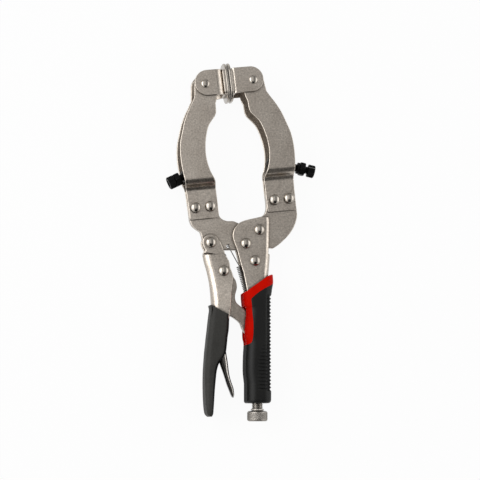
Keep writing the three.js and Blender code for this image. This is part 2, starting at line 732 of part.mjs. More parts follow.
// Fixed grip: down, left and right of the screw's axis, and half thickness, as shares
const fixedGripShares = [
  [-0.02, 1.16, 1.107, 0.84], [0.075, 1.16, 1.147, 0.9], [0.14, 1.15, 1.066, 0.96],
  [0.17, 1.15, 1.015, 0.99], [0.21, 1.16, 1.005, 1], [0.25, 1.15, 1, 1], [0.266, 1.03, 1, 1],
  [0.31, 0.99, 1, 1], [0.36, 1.04, 1, 1], [0.44, 1.11, 1, 1], [0.49, 1.11, 1, 1], [0.54, 1.02, 1, 1],
  [0.63, 1.06, 1, 1], [0.75, 1.08, 1, 1], [0.82, 1.02, 1, 1], [0.88, 0.95, 1, 1],
  [0.97, 0.92, 0.995, 1], [0.99, 0.9, 0.964, 0.97], [1, 0.82, 0.873, 0.9],
];
const gripTopShares = [
  [-1.9, 0.2], [-1.35, 0.165], [-0.94, 0.137], [-0.64, 0.113], [-0.26, 0.085], [0.12, 0.057], [0.5, 0.029],
  [0.73, 0.013], [0.95, 0.005], [1.08, 0.006], [1.6, 0.03],
];
const accentShares = [
  [1.6, 0.055], [1.04, 0.079], [0.96, 0.082], [0.65, 0.1], [0.27, 0.121], [-0.1, 0.146], [-0.41, 0.172],
  [-0.63, 0.194], [-0.67, 0.206],
];
// The accent's left side, down as shares from that edge to its end past the link's slot
const accentSideShares = [
  [-0.62, 0.153], [-0.57, 0.328], [-0.52, 0.503], [-0.52, 0.678], [-0.55, 0.808], [-0.62, 0.915],
  [-0.79, 0.96], [-1.06, 0.983], [-1.7, 1],
];
const gripDrop = handleDrop + gripPast;
const gripLength = gripDrop - gripTop;
const gripHalfWidth = screwAxis - handleWidth * channelLeftShare + gripFront;
const gripEdge = spineBack + gripBack - screwAxis;
const gripSlotTopShare = 0.67; // of the link's drop
const gripSlotEnd = linkEndDown + gripSlotPast;

// A place on the fixed grip: across in half widths, down in shares of its length
const onGrip = ([x, down]) => at(screwAxis + x * gripHalfWidth, -gripTop - down * gripLength);

function gripBody() {
  return loft(fixedGripShares.map(([down, left, right, half]) => section(
    screwAxis - left * gripHalfWidth, screwAxis + right * gripEdge,
    gripHalf * half, gripCorner, -gripTop - down * gripLength,
  )));
}

function gripHollow() {
  const floor = -handleDrop - gap;
  const leftEdge = handleWidth * channelLeftShare - gap;
  const left = shifted(spread(cheekLowerShares, handleWidth, cheekDrop).slice(3), -gap, 0);
  const right = shifted(fixedSpine, gap, 0);
  const outline = [...left, at(leftEdge, -cheekDrop), at(leftEdge, floor), at(right.at(-1).x, floor),
    ...right.reverse()];
  return common(slab(outline, -gripHalf, gripHalf), sideSlab(fixedFlare(gap), -handleFar, handleFar));
}

function accentEdge() {
  const edge = accentShares.map(onGrip);
  const start = edge.at(-1).y;
  const end = -gripSlotEnd - accentPast;
  const side = accentSideShares.map(([across, down]) => at(
    screwAxis + across * gripHalfWidth, start + (end - start) * down,
  ));
  return curve([...edge, ...side], 26);
}

function ribGrooves() {
  const crest = screwAxis + gripEdge;
  const outer = crest + ribDepth;
  const start = onGrip(accentShares[1]).y - ribBelow;
  const ribCount = Math.floor((start + gripDrop - ribEnd) / ribPitch);
  const grooves = [at(outer, start + ribPitch)];
  for (let i = 0; i < ribCount; i += 1) {
    const y = start - i * ribPitch;
    grooves.push(at(crest + gap, y), at(crest - ribDepth, y - ribPitch / 2));
  }
  const end = start - ribCount * ribPitch;
  grooves.push(at(crest + gap, end), at(outer, end));
  return slab(grooves.reverse(), -gripHalf - overrun, gripHalf + overrun);
}

function gripPieces() {
  const top = curve(gripTopShares.map(onGrip), 16);
  const sky = [...top, at(top.at(-1).x, overrun), at(top[0].x, overrun)];
  const linkSlot = block(screwAxis - gripHalfWidth - overrun, gripSlotIn,
    -gripSlotEnd, -linkEndDown * gripSlotTopShare, screwThroat);
  const springMouth = block(screwAxis - gripHalfWidth - overrun, anchorIn, -anchorDown, -gripTop,
    springCoil / 2 + gap);
  const screwHole = rod(screwRadius + gap * 2, gripPast + overrun * 2, rivetSides)
    .translate(screwAxis, -gripDrop - overrun, 0);
  const tall = gripHalf + overrun;
  const body = cut(gripBody(), slab(sky, -tall, tall), gripHollow(), linkSlot, springMouth, screwHole);
  const edge = accentEdge();
  const redZone = [...edge, at(edge.at(-1).x, overrun), at(edge[0].x, overrun)].reverse();
  const blackEdge = offsetLine(edge, gap);
  const blackZone = [...blackEdge, at(blackEdge.at(-1).x, overrun), at(blackEdge[0].x, overrun)].reverse();
  return {
    accent: common(body, slab(redZone, -tall, tall)),
    black: cut(body, slab(blackZone, -tall, tall), ribGrooves()),
  };
}

// Moves an open line to its right-hand side by a distance
function offsetLine(points, distance) {
  return points.map((p, i) => {
    const before = points[Math.max(i - 1, 0)];
    const after = points[Math.min(i + 1, points.length - 1)];
    const along = after.clone().sub(before).normalize();
    return at(p.x + along.y * -distance, p.y + along.x * distance);
  });
}

// Moving grip: down, left and right edges across from the main pivot, half thickness, as shares
const movingGripShares = [
  [0, -0.85, -0.28, 0.93], [0.04, -0.83, -0.325, 0.98], [0.09, -0.845, -0.365, 1], [0.14, -0.86, -0.372, 1],
  [0.22, -0.882, -0.382, 1], [0.29, -0.903, -0.408, 1], [0.37, -0.924, -0.428, 1], [0.43, -0.94, -0.452, 1],
  [0.47, -0.947, -0.505, 1], [0.51, -0.955, -0.583, 1], [0.55, -0.962, -0.628, 1],
  [0.6, -0.967, -0.66, 1], [0.69, -0.969, -0.686, 1], [0.77, -0.965, -0.705, 1],
  [0.86, -0.955, -0.72, 1], [0.94, -0.935, -0.735, 0.98], [0.98, -0.91, -0.745, 0.9],
  [1, -0.86, -0.77, 0.75],
];
const movingGripTopShares = [
  [-1.1, -0.005], [-0.87, 0], [-0.78, 0.005], [-0.755, 0.015], [-0.674, 0.033], [-0.56, 0.059],
  [-0.47, 0.075], [-0.385, 0.087], [-0.2, 0.1],
];

function movingGripGeometry() {
  const place = ([x, down]) => at(x * movingReach, -movingGripTop - down * movingGripLength);
  const body = loft(movingGripShares.map(([down, left, right, half]) => {
    const width = (right - left) * movingReach;
    const corner = Math.min(movingGripCorner, width * narrowCornerShare);
    return section(left * movingReach, right * movingReach, movingGripHalf * half, corner,
      -movingGripTop - down * movingGripLength);
  }));
  const top = movingGripTopShares.map(place);
  const sky = [...top, at(top.at(-1).x, 0), at(top[0].x, 0)];
  const far = movingReach + overrun;
  const flare = flareProfile(channelThroat, movingThroat, movingFlareStart, movingFlareEnd,
    handleSheet + gap, overrun, -movingDrop - overrun);
  const outline = movingOuter();
  const widened = offsetLine([...outline, outline[0]], -gap).slice(0, -1);
  const hollow = common(slab(widened, -gripHalf, gripHalf), sideSlab(flare, -far, far));
  const slotEnd = -leverPinDown - leverSlotBelow;
  const slot = block(-leverPinOut - leverHub * 2, 0, slotEnd, 0, leverPlate / 2 + gap);
  const tall = gripHalf + overrun;
  return cut(body, slab(sky, -tall, tall), hollow, slot);
}

// Adjusting screw, drawn in the drawing frame round its axis
const screwTipDown = linkEndDown + linkEndRadius + linkRun;
const knobTop = gripDrop + screwShow;

function screwGeometry() {
  const length = knobTop - screwTipDown;
  const shank = groovedShank(screwRadius, screwRoot, screwPitch, length, length - screwShow - screwPitch);
  return shank.translate(screwAxis, -knobTop, 0);
}

function collarGeometry() {
  const hole = screwRadius + gap;
  const profile = [at(hole, 0), at(collarRadius + gap, 0), at(collarRadius + gap, collarHeight),
    at(hole, collarHeight), at(hole, 0)];
  return turned(profile, rivetSides).translate(screwAxis, gap - knobTop, 0);
}

function knobGeometry() {
  const round = arc(at(knobRadius - knobRound, knobRound), knobRound, -90, 0, 3);
  const upper = arc(at(knobRadius - knobRound, knobHeight - knobRound), knobRound, 0, 90, 3);
  const profile = [at(0, 0), ...round, ...upper, at(0, knobHeight)];
  return turned(profile, knobSides).translate(screwAxis, -knobTop - knobHeight, 0);
}

function nutBlockGeometry() {
  const low = -handleDrop + nutAbove;
  const right = spineBack - handleSheet - gap;
  const left = screwAxis * 2 - right;
  const half = screwThroat - gap;
  const body = block(left, right, low, low + nutLength, half);
  const bore = rod(screwRadius + gap, nutLength + overrun * 2, rivetSides);
  return cut(body, bore.translate(screwAxis, low - overrun, 0));
}

const sideCrossV = armFoot + joggleMiddle + joggleLength / 2 + sideCrossPast;

// Side screws, drawn along Y with the head away from the arms and then turned into place
function sideScrewGeometry(headOut) {
  const length = sideTip + headOut;
  const shank = groovedShank(sideRadius, sideRoot, sidePitch, length, length - headOut)
    .rotateX(Math.PI).translate(0, headOut, 0);
  const chamfer = sideRadius - sideRoot;
  const head = turned([at(0, 0), at(sideHeadRadius, 0), at(sideHeadRadius, sideHeadLength - chamfer),
    at(sideHeadRadius - chamfer, sideHeadLength), at(0, sideHeadLength)], headSides).translate(0, headOut, 0);
  const floor = headOut + sideHeadLength - socketDepth;
  const socket = rod(socketRadius, socketDepth * 2, hexSides).translate(0, floor, 0);
  return cut(join(head, shank), socket);
}

function jamNutGeometry() {
  const bore = rod(sideRadius + gap, jamNutLength + overrun * 2, rivetSides);
  return cut(rod(jamNutRadius, jamNutLength, hexSides), bore.translate(0, -overrun, 0));
}

function threadedBlockGeometry() {
  const bore = rod(sideRadius + gap, blockLength + overrun * 2, rivetSides);
  const body = block(-blockHalf, blockHalf, -blockLength, -blockInset, armHigh - gap * 2);
  return cut(body, bore.translate(0, -blockLength - overrun, 0));
}

function washerGeometry() {
  const profile = [at(sideRadius + gap, 0), at(washerRadius, 0), at(washerRadius, washerLength),
    at(sideRadius + gap, washerLength), at(sideRadius + gap, 0)];
  return turned(profile, rivetSides);
}

// Spring: one round wire, from its hook through the jaw's hole to its eye round the anchor pin
function springPath() {
  const start = new THREE.Vector3(-springTopOut, -springTopDown, 0);
  const end = new THREE.Vector3(springEndIn, springEndAbove - anchorDown, 0);
  const along = end.clone().sub(start).normalize();
  const across = new THREE.Vector3(0, 0, 1).cross(along);
  const radius = (springCoil - springWire) / 2;
  const coil = [];
  const steps = springCurls * curlSteps;
  for (let i = 0; i <= steps; i += 1) {
    const turn = (2 * Math.PI * i) / curlSteps;
    const point = start.clone().lerp(end, i / steps);
    point.addScaledVector(across, radius * Math.cos(turn));
    point.z += radius * Math.sin(turn);
    coil.push(point);
  }
  const eye = at(-springHoleOut, -springHoleDown);
  const hookOut = jawPlateHalf + springWire;
  const hookDrop = springHole + springWire * 3;
  const hook = [
    new THREE.Vector3(eye.x, eye.y, -hookOut),
    new THREE.Vector3(eye.x, eye.y, hookOut - springWire),
    new THREE.Vector3(eye.x + springWire / 2, eye.y - springWire, hookOut + springWire / 4),
    new THREE.Vector3(eye.x + springWire, eye.y - hookDrop, hookOut),
    new THREE.Vector3(eye.x + springWire * 3, eye.y - hookDrop - springWire * 3, radius),
  ];
  const pin = at(anchorIn, -anchorDown);
  const eyeRadius = pinRadius + gap + springWire / 2;
  const loop = [];
  for (let i = 0; i <= curlSteps; i += 1) {
    const turn = radians(springEyeStart - springEyeSweep * (i / curlSteps));
    loop.push(new THREE.Vector3(pin.x + eyeRadius * Math.cos(turn), pin.y + eyeRadius * Math.sin(turn), 0));
  }
  return { hook, coil, loop };
}

function leastGap(points, wire) {
  let least = Infinity;
  const far = Math.ceil(curlSteps / 2);
  for (let i = 0; i < points.length; i += 1) {
    for (let j = i + far; j < points.length; j += 1) {
      least = Math.min(least, segmentDistance(points, i, j));
    }
  }
  return least - wire;
}

// Least distance from a point of the wire to a later stretch of it
function segmentDistance(points, i, j) {
  if (j + 1 >= points.length) return points[i].distanceTo(points[j]);
  const nearest = new THREE.Vector3();
  new THREE.Line3(points[j], points[j + 1]).closestPointToPoint(points[i], true, nearest);
  return points[i].distanceTo(nearest);
}

function wireTube(points, radius) {
  const positions = [];
  const index = [];
  let normal = new THREE.Vector3(1, 0, 0);
  points.forEach((point, i) => {
    const before = points[Math.max(i - 1, 0)];
    const after = points[Math.min(i + 1, points.length - 1)];
    const along = after.clone().sub(before).normalize();
    normal = normal.clone().addScaledVector(along, -normal.dot(along)).normalize();
    const side = along.clone().cross(normal);
    for (let k = 0; k < wireSides; k += 1) {
      const turn = (2 * Math.PI * k) / wireSides;
      const spot = point.clone().addScaledVector(normal, radius * Math.cos(turn));
      spot.addScaledVector(side, radius * Math.sin(turn));
      positions.push(spot.x, spot.y, spot.z);
    }
  });
  for (let i = 0; i + 1 < points.length; i += 1) {
    for (let k = 0; k < wireSides; k += 1) {
      const a = i * wireSides + k;
      const b = i * wireSides + ((k + 1) % wireSides);
      index.push(a, b, a + wireSides, b, b + wireSides, a + wireSides);
    }
  }
  const last = (points.length - 1) * wireSides;
  for (let k = 1; k + 1 < wireSides; k += 1) {
    index.push(0, k + 1, k, last, last + k, last + k + 1);
  }
  const geometry = new THREE.BufferGeometry();
  geometry.setAttribute('position', new THREE.Float32BufferAttribute(positions, 3));
  geometry.setIndex(index);
  return geometry;
}

// Assembly
const clamp = new THREE.Group();
const plane = group(clamp, 0, 0);
const jaw = group(plane, 0, 0, jawTilt);

for (const [side, name] of [[1, 'right'], [-1, 'left']]) {
  jaw.add(piece(`${name}_arm_front_plate`, armPlateFor(side, 1), nickel));
  jaw.add(piece(`${name}_arm_rear_plate`, armPlateFor(side, -1), nickel));
  for (const [spot, centre] of Object.entries(armRivetSpots)) {
    const mesh = piece(`${name}_arm_rivet_${spot}`,
      rivet(rivetShank, rivetHead, rivetCrown, armLow + armPlate), brightNickel);
    mesh.position.set(side * centre.x + jawShift, centre.y, 0);
    jaw.add(mesh);
  }
  const pad = group(jaw, side * padPivot.x + jawShift, padPivot.y);
  pad.add(piece(`${name}_pad_bracket`, turnedOver(padBracketGeometry(), side), nickel));
  pad.add(piece(`${name}_pad_face`, turnedOver(padFaceGeometry(), side), brightNickel));
  pad.add(piece(`${name}_pad_rivet`, rivet(rivetShank, padRivetHead, padRivetCrown, padOuter), brightNickel));
  const sleeve = turned([at(rivetHole, -armHigh), at(spacerRadius, -armHigh), at(spacerRadius, armHigh),
    at(rivetHole, armHigh), at(rivetHole, -armHigh)], rivetSides);
  pad.add(piece(`${name}_pad_spacer`, sleeve.rotateX(Math.PI / 2), steel));

  const nutOut = side > 0 ? rightNutOut : leftNutOut;
  const headOut = nutOut + jamNutLength + (side > 0 ? rightHeadPast : gap);
  const screw = group(jaw, side * sideCrossU + jawShift, sideCrossV, -side * (90 + sideAngle));
  screw.add(piece(`${name}_side_screw`, sideScrewGeometry(headOut), blackOxide));
  screw.add(piece(`${name}_jam_nut`, jamNutGeometry().translate(0, nutOut, 0), blackOxide));
  screw.add(piece(`${name}_threaded_block`, threadedBlockGeometry(), blackOxide));
  if (side > 0) {
    const washerOut = nutOut - washerLength - gap;
    screw.add(piece(`${name}_washer`, washerGeometry().translate(0, washerOut, 0), blackOxide));
  }
}

jaw.add(piece('fixed_jaw_plate', fixedJawGeometry(), nickel));
jaw.add(piece('moving_jaw_plate', movingJawGeometry(), nickel));

const cheekFace = channelThroat + handleSheet;
const cheekRivets = [
  ['main_pivot_rivet', at(0, 0), 0],
  ['fixed_jaw_rivet_upper', fromJaw(upperRivet.x, upperRivet.y), 0],
  ['fixed_jaw_rivet_lower', fromJaw(lowerRivet.x, lowerRivet.y), 0],
  ['handle_pivot_rivet', at(-pivotOut, pivotUp), gap],
  ['link_rivet', at(-linkPivotOut, -linkPivotDown), 0],
];
for (const [name, centre, play] of cheekRivets) {
  const mesh = piece(name, rivet(rivetShank, rivetHead, rivetCrown, cheekFace + play), brightNickel);
  mesh.position.set(centre.x, centre.y, 0);
  plane.add(mesh);
}

plane.add(piece('fixed_handle_shell', fixedShellGeometry(), nickel));
plane.add(piece('moving_handle_shell', movingShellGeometry(), nickel));
plane.add(piece('toggle_link', linkGeometry(), nickel));

const lever = group(plane, -leverPinOut, -leverPinDown);
lever.add(piece('release_lever', leverGeometry(), brightNickel));
lever.add(piece('lever_pin', crossPin(pinRadius, movingThroat + handleSheet), steel));

const grips = gripPieces();
plane.add(piece('fixed_grip', grips.black, rubber));
plane.add(piece('grip_accent', grips.accent, red));
plane.add(piece('moving_grip', movingGripGeometry(), charcoal));

plane.add(piece('adjusting_screw', screwGeometry(), steel));
plane.add(piece('screw_collar', collarGeometry(), steel));
plane.add(piece('adjusting_knob', knobGeometry(), brightNickel));
plane.add(piece('adjuster_nut', nutBlockGeometry(), steel));

const anchor = piece('spring_anchor_pin', crossPin(pinRadius, screwThroat + handleSheet), steel);
anchor.position.set(anchorIn, -anchorDown, 0);
plane.add(anchor);
const { hook, coil, loop } = springPath();
const wire = [...hook, ...coil, ...loop];
console.log('tension spring: least gap to itself', leastGap(wire, springWire).toFixed(2), 'mm');
plane.add(piece('tension_spring', wireTube(wire, springWire / 2), steel));

// The origin is the middle of the underside
clamp.updateMatrixWorld(true);
const reach = new THREE.Box3().setFromObject(clamp);
const middle = reach.getCenter(new THREE.Vector3());
plane.position.set(-middle.x, -middle.y, -reach.min.z);

export default clamp;
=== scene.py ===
import json
import math

import bmesh
import bpy
from mathutils import Matrix, Vector


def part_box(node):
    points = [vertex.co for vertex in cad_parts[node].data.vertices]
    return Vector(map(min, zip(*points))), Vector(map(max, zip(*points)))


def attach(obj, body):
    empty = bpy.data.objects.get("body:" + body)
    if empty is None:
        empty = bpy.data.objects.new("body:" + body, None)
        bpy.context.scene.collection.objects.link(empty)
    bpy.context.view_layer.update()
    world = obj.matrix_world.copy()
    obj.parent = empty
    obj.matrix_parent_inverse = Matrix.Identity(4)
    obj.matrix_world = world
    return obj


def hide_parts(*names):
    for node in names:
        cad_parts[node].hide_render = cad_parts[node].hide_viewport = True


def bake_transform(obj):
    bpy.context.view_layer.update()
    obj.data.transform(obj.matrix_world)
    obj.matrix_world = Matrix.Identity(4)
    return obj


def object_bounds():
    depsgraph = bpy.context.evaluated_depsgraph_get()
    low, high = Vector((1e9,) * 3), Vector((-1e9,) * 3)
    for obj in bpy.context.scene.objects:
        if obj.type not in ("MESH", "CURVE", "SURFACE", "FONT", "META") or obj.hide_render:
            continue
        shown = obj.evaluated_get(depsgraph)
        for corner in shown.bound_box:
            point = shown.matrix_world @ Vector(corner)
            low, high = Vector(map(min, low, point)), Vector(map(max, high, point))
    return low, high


# Looks of the locking welding clamp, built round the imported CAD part.
# Lengths are millimetres until new_object() turns them into metres, and metres in the studio.
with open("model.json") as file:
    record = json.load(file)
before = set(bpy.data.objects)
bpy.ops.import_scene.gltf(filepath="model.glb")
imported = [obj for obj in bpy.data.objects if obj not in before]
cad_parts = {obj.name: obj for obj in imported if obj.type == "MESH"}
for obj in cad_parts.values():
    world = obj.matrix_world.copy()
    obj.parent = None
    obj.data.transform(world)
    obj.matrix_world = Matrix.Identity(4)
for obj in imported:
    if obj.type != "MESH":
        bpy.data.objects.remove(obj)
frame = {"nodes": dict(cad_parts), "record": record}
cad_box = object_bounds()
record = frame["record"]
MM = 0.001
clamp_middle = (Vector(cad_box[0]) + Vector(cad_box[1])) / 2 / MM
axis_x = Vector((1, 0, 0))
axis_y = Vector((0, 1, 0))
axis_z = Vector((0, 0, 1))

# Camera: 480 pixels across see 0.783 mm each at the target
picture_size = 480
camera_focus = 1660.0                 # focal length in pixels
sensor_width = 36.0
camera_distance = 1299.8
camera_target = Vector((-0.846, 0.689, 13.2))
camera_way = Vector((-0.1725, -0.1149, 0.9783))  # from the target towards the camera


def body_of_node(node):
    for body, nodes in record["behaviour"]["bodies"].items():
        if node in nodes:
            return body
    raise ValueError(node)


def slot_of_node(node):
    for part in record["subparts"]:
        if part["node"] == node:
            return part["material_slot"]
    raise ValueError(node)


def joint_of(name):
    return next(joint for joint in record["behaviour"]["joints"] if joint["name"] == name)


def node_box(node):
    """A node's lowest and highest corners in millimetres."""
    low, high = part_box(node)
    return low / MM, high / MM


def node_middle(node):
    low, high = node_box(node)
    return (low + high) / 2


# Node trees
patch_noise = {"scale": 70.0, "detail": 2.0, "roughness": 0.55}
grain_roughness = 0.66
noise_run = (0.3, 0.7)       # where nearly all of a noise's values lie
shade_run = (0.45, 0.95)     # openness at which the painted crevice shade is darkest, and at which it ends
pale_edge_run = (0.60, 0.70)      # pointiness at which an edge's paler tone, part wear and part painted highlight, starts, and is full
openness_samples = 8


def add_node(tree, kind, settings=None, **inputs):
    """Adds a node with its inputs by name, or by number after an underscore."""
    made = tree.nodes.new("ShaderNode" + kind)
    for name, value in (settings or {}).items():
        setattr(made, name, value)
    for name, value in inputs.items():
        socket = made.inputs[int(name[1:])] if name[0] == "_" else made.inputs[name]
        if isinstance(value, bpy.types.NodeSocket):
            tree.links.new(value, socket)
        else:
            socket.default_value = value
    return made


def new_material(name):
    material = bpy.data.materials.new(name)
    material.use_nodes = True
    material.node_tree.nodes.clear()
    return material


def noise_value(tree, coordinates, scale, detail, roughness):
    made = add_node(tree, "TexNoise", Vector=coordinates, Scale=scale, Detail=detail, Roughness=roughness)
    return made.outputs["Fac"]


def remap(tree, value, low, high, to_low, to_high):
    made = add_node(tree, "MapRange", _0=value, _1=low, _2=high, _3=to_low, _4=to_high)
    return made.outputs[0]


def calculated(tree, operation, first, second):
    return add_node(tree, "Math", {"operation": operation}, _0=first, _1=second).outputs[0]


def blend_colours(tree, factor, first, second):
    made = add_node(tree, "Mix", {"data_type": "RGBA"}, _0=factor, _6=first, _7=second)
    return made.outputs[2]


def facing_share(tree, direction, start, end, low=0.0, high=1.0):
    """Goes from low to high as a face's share of a direction of the object goes from start to end."""
    normal = add_node(tree, "TexCoord").outputs["Normal"]
    facing = add_node(tree, "VectorMath", {"operation": "DOT_PRODUCT"}, _0=normal, _1=direction)
    return remap(tree, facing.outputs["Value"], start, end, low, high)


def surface(name, tones, roughness, grain_scale, grain_depth, grain_tone, rough_spread=0.02,
            grain_detail=4.0, metallic=1.0, edge_wear_and_highlight=None, crevice_shade=0.45, reach=1.4, tint=None, dull=None,
            specular=0.5, specular_tint=(1.0, 1.0, 1.0)):
    """A procedural finish: large soft patches between two tones, a fine grain in tone, gloss and bump,
    a paler tone along sharp edges that is part wear and part painted highlight, and painted shade in
    crevices. The side shade is (colour, direction, start, end): faces take its colour, a painted shade,
    as their share of the object's direction goes from start to end. Dull is (level, direction, start,
    end), and their specular level falls to its level in the same way."""
    material = new_material(name)
    tree = material.node_tree
    place = add_node(tree, "TexCoord").outputs["Object"]
    patches = remap(tree, noise_value(tree, place, **patch_noise), *noise_run, 0.0, 1.0)
    grain = noise_value(tree, place, grain_scale, grain_detail, grain_roughness)
    tone = blend_colours(tree, patches, (*tones[0], 1), (*tones[1], 1))
    grain_and_shade = remap(tree, grain, *noise_run, 1.0 - grain_tone, 1.0 + grain_tone)
    # Painted shade: the colour darkens where ambient occlusion finds little open space, in crevices and
    # under parts.
    openness = add_node(tree, "AmbientOcclusion", {"samples": openness_samples}, Distance=reach * MM)
    shadow = remap(tree, openness.outputs["AO"], *shade_run, crevice_shade, 1.0)
    grain_and_shade = calculated(tree, "MULTIPLY", grain_and_shade, shadow)
    colour = add_node(tree, "VectorMath", {"operation": "SCALE"}, _0=tone, _3=grain_and_shade).outputs[0]
    # Painted shade: faces take a darker colour as their share of a direction of the object changes.
    if tint:
        shade_colour, *facing = tint
        colour = blend_colours(tree, facing_share(tree, *facing), colour, (*shade_colour, 1))
    if dull:
        level, *facing = dull
        specular = facing_share(tree, *facing, specular, level)
    # Paler colour on sharp edges: part wear, part painted highlight.
    if edge_wear_and_highlight:
        sharpness = add_node(tree, "NewGeometry").outputs["Pointiness"]
        colour = blend_colours(tree, remap(tree, sharpness, *pale_edge_run, 0.0, 1.0), colour, (*edge_wear_and_highlight, 1))
    gloss = remap(tree, grain, *noise_run, roughness - rough_spread, roughness + rough_spread)
    bump = add_node(tree, "Bump", Strength=1.0, Distance=grain_depth * MM, Height=grain).outputs[0]
    values = {"Base Color": colour, "Specular IOR Level": specular, "Specular Tint": (*specular_tint, 1)}
    shade = add_node(tree, "BsdfPrincipled", Roughness=gloss, Normal=bump, Metallic=metallic, **values)
    add_node(tree, "OutputMaterial", Surface=shade.outputs[0])
    return material


nickel_tones = ((0.42, 0.372, 0.322), (0.49, 0.441, 0.386))
nickel_grain = {"grain_scale": 800.0, "grain_depth": 0.004, "grain_tone": 0.34, "grain_detail": 6.0}
grip_side = ((-1.0, 0.0, 0.0), 0.84, 0.96)   # the fixed grip's side towards the moving handle
# A finish's crevice value is how far its painted crevice shade darkens it.
looks = {
    "satin_nickel": dict(tones=nickel_tones, roughness=0.31, crevice_shade=0.2, reach=2.2, **nickel_grain),
    # A darker copy of satin nickel for the toggle link: painted shade, as the link lies deeper among the
    # plates.
    "painted_shade_nickel": dict(tones=((0.32, 0.28, 0.24), (0.38, 0.335, 0.29)), roughness=0.33, crevice_shade=0.2,
                          reach=2.2, **nickel_grain),
    "pad_nickel": dict(tones=nickel_tones, roughness=0.31, crevice_shade=0.8, **nickel_grain),
    "bright_nickel": dict(tones=((0.37, 0.335, 0.295), (0.42, 0.385, 0.34)), roughness=0.22,
                          grain_scale=900.0, grain_depth=0.004, grain_tone=0.08, rough_spread=0.01,
                          crevice_shade=0.6),
    "plain_steel": dict(tones=((0.40, 0.37, 0.33), (0.48, 0.45, 0.41)), roughness=0.31,
                        grain_scale=1300.0, grain_depth=0.004, grain_tone=0.12, crevice_shade=0.3),
    "spring_steel": dict(tones=((0.17, 0.162, 0.15), (0.22, 0.21, 0.195)), roughness=0.33,
                         grain_scale=1300.0, grain_depth=0.002, grain_tone=0.12, crevice_shade=0.0, reach=1.2),
    "knob_steel": dict(tones=((0.23, 0.212, 0.19), (0.29, 0.27, 0.245)), roughness=0.32,
                       grain_scale=1100.0, grain_depth=0.004, grain_tone=0.25, crevice_shade=0.15, reach=1.0),
    # The lever keeps its bright tone only on faces near its crest: painted highlight, with painted shade on
    # its sides.
    "lever_steel": dict(tones=((0.52, 0.49, 0.45), (0.60, 0.57, 0.53)), roughness=0.24,
                        grain_scale=900.0, grain_depth=0.004, grain_tone=0.08, rough_spread=0.01,
                        tint=((0.022, 0.021, 0.019), (0.34, 0.0, 0.94), 0.985, 0.93)),
    # Sharp edges take a paler colour: part wear, part painted highlight.
    "black_oxide": dict(tones=((0.003, 0.003, 0.003), (0.005, 0.005, 0.005)), roughness=0.36,
                        grain_scale=1500.0, grain_depth=0.006, grain_tone=0.2, rough_spread=0.04,
                        metallic=0.0, specular=0.08, edge_wear_and_highlight=(0.20, 0.20, 0.19)),
    "red_rubber": dict(tones=((0.50, 0.003, 0.0006), (0.57, 0.005, 0.001)), roughness=0.58,
                       grain_scale=1800.0, grain_depth=0.006, grain_tone=0.05, rough_spread=0.08,
                       metallic=0.0, specular=0.10, specular_tint=(1.0, 0.10, 0.03),
                       dull=(0.01, *grip_side)),
    "black_rubber": dict(tones=((0.003, 0.003, 0.0026), (0.0045, 0.0045, 0.004)), roughness=0.50,
                         grain_scale=2200.0, grain_depth=0.008, grain_tone=0.12, rough_spread=0.03,
                         metallic=0.0, specular=0.22, crevice_shade=0.05, dull=(0.02, *grip_side)),
    # The grip's right side takes a darker colour: painted shade.
    "dipped_grip": dict(tones=((0.030, 0.029, 0.0262), (0.038, 0.037, 0.0335)), roughness=0.60,
                        grain_scale=700.0, grain_depth=0.008, grain_tone=0.16, rough_spread=0.03,
                        metallic=0.0, specular=0.15,
                        tint=((0.003, 0.003, 0.0027), axis_x, 0.36, 0.60)),
}
finishes = {name: surface(name, **look) for name, look in looks.items()}

# Meshes
weld = 0.002             # vertices of a node closer than this are one
fine = 1e-4              # and of a mesh made here
flatness = 0.6           # faces that turn by less than this many degrees become one
crease_angle = 26        # an edge sharper than this many degrees is rounded
crease_round = 0.3       # by this radius
crease_steps = 3
flat_weight = 80         # how much more large faces count in the shading


def as_data(name, mesh):
    """Turns a bmesh into mesh data."""
    data = bpy.data.meshes.new(name)
    mesh.to_mesh(data)
    mesh.free()
    return data


def placed(name, data):
    """A new object in the scene."""
    made = bpy.data.objects.new(name, data)
    bpy.context.scene.collection.objects.link(made)
    return made


def new_object(name, mesh, slot, body, replaced=(), smooth_angle=None, finish=None):
    """Turns a bmesh in millimetres into a piece that rides on a body."""
    bmesh.ops.recalc_face_normals(mesh, faces=mesh.faces)
    bmesh.ops.scale(mesh, vec=(MM, MM, MM), verts=mesh.verts)
    data = as_data(name, mesh)
    data.shade_smooth()
    if smooth_angle is not None:
        data.set_sharp_from_angle(angle=math.radians(smooth_angle))
    data.materials.append(finishes[finish or slot])
    piece = placed(name, data)
    if replaced:
        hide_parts(*replaced)
    if body:
        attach(piece, body)
    return piece


def stand_in(node, mesh, smooth_angle=None, finish=None):
    """The piece that stands for one CAD node, with that node's slot and body."""
    return new_object(node + "_form", mesh, slot_of_node(node), body_of_node(node), (node,), smooth_angle,
                      finish)


def even_shading(piece):
    """Keeps large flat faces flat in the shading of a piece with rounded edges."""
    shading = piece.modifiers.new("shading", "WEIGHTED_NORMAL")
    shading.weight = flat_weight


def copied(node):
    mesh = bmesh.new()
    mesh.from_mesh(frame["nodes"][node].data)
    bmesh.ops.scale(mesh, vec=(1 / MM,) * 3, verts=mesh.verts)
    bmesh.ops.remove_doubles(mesh, verts=mesh.verts, dist=weld)
    return mesh


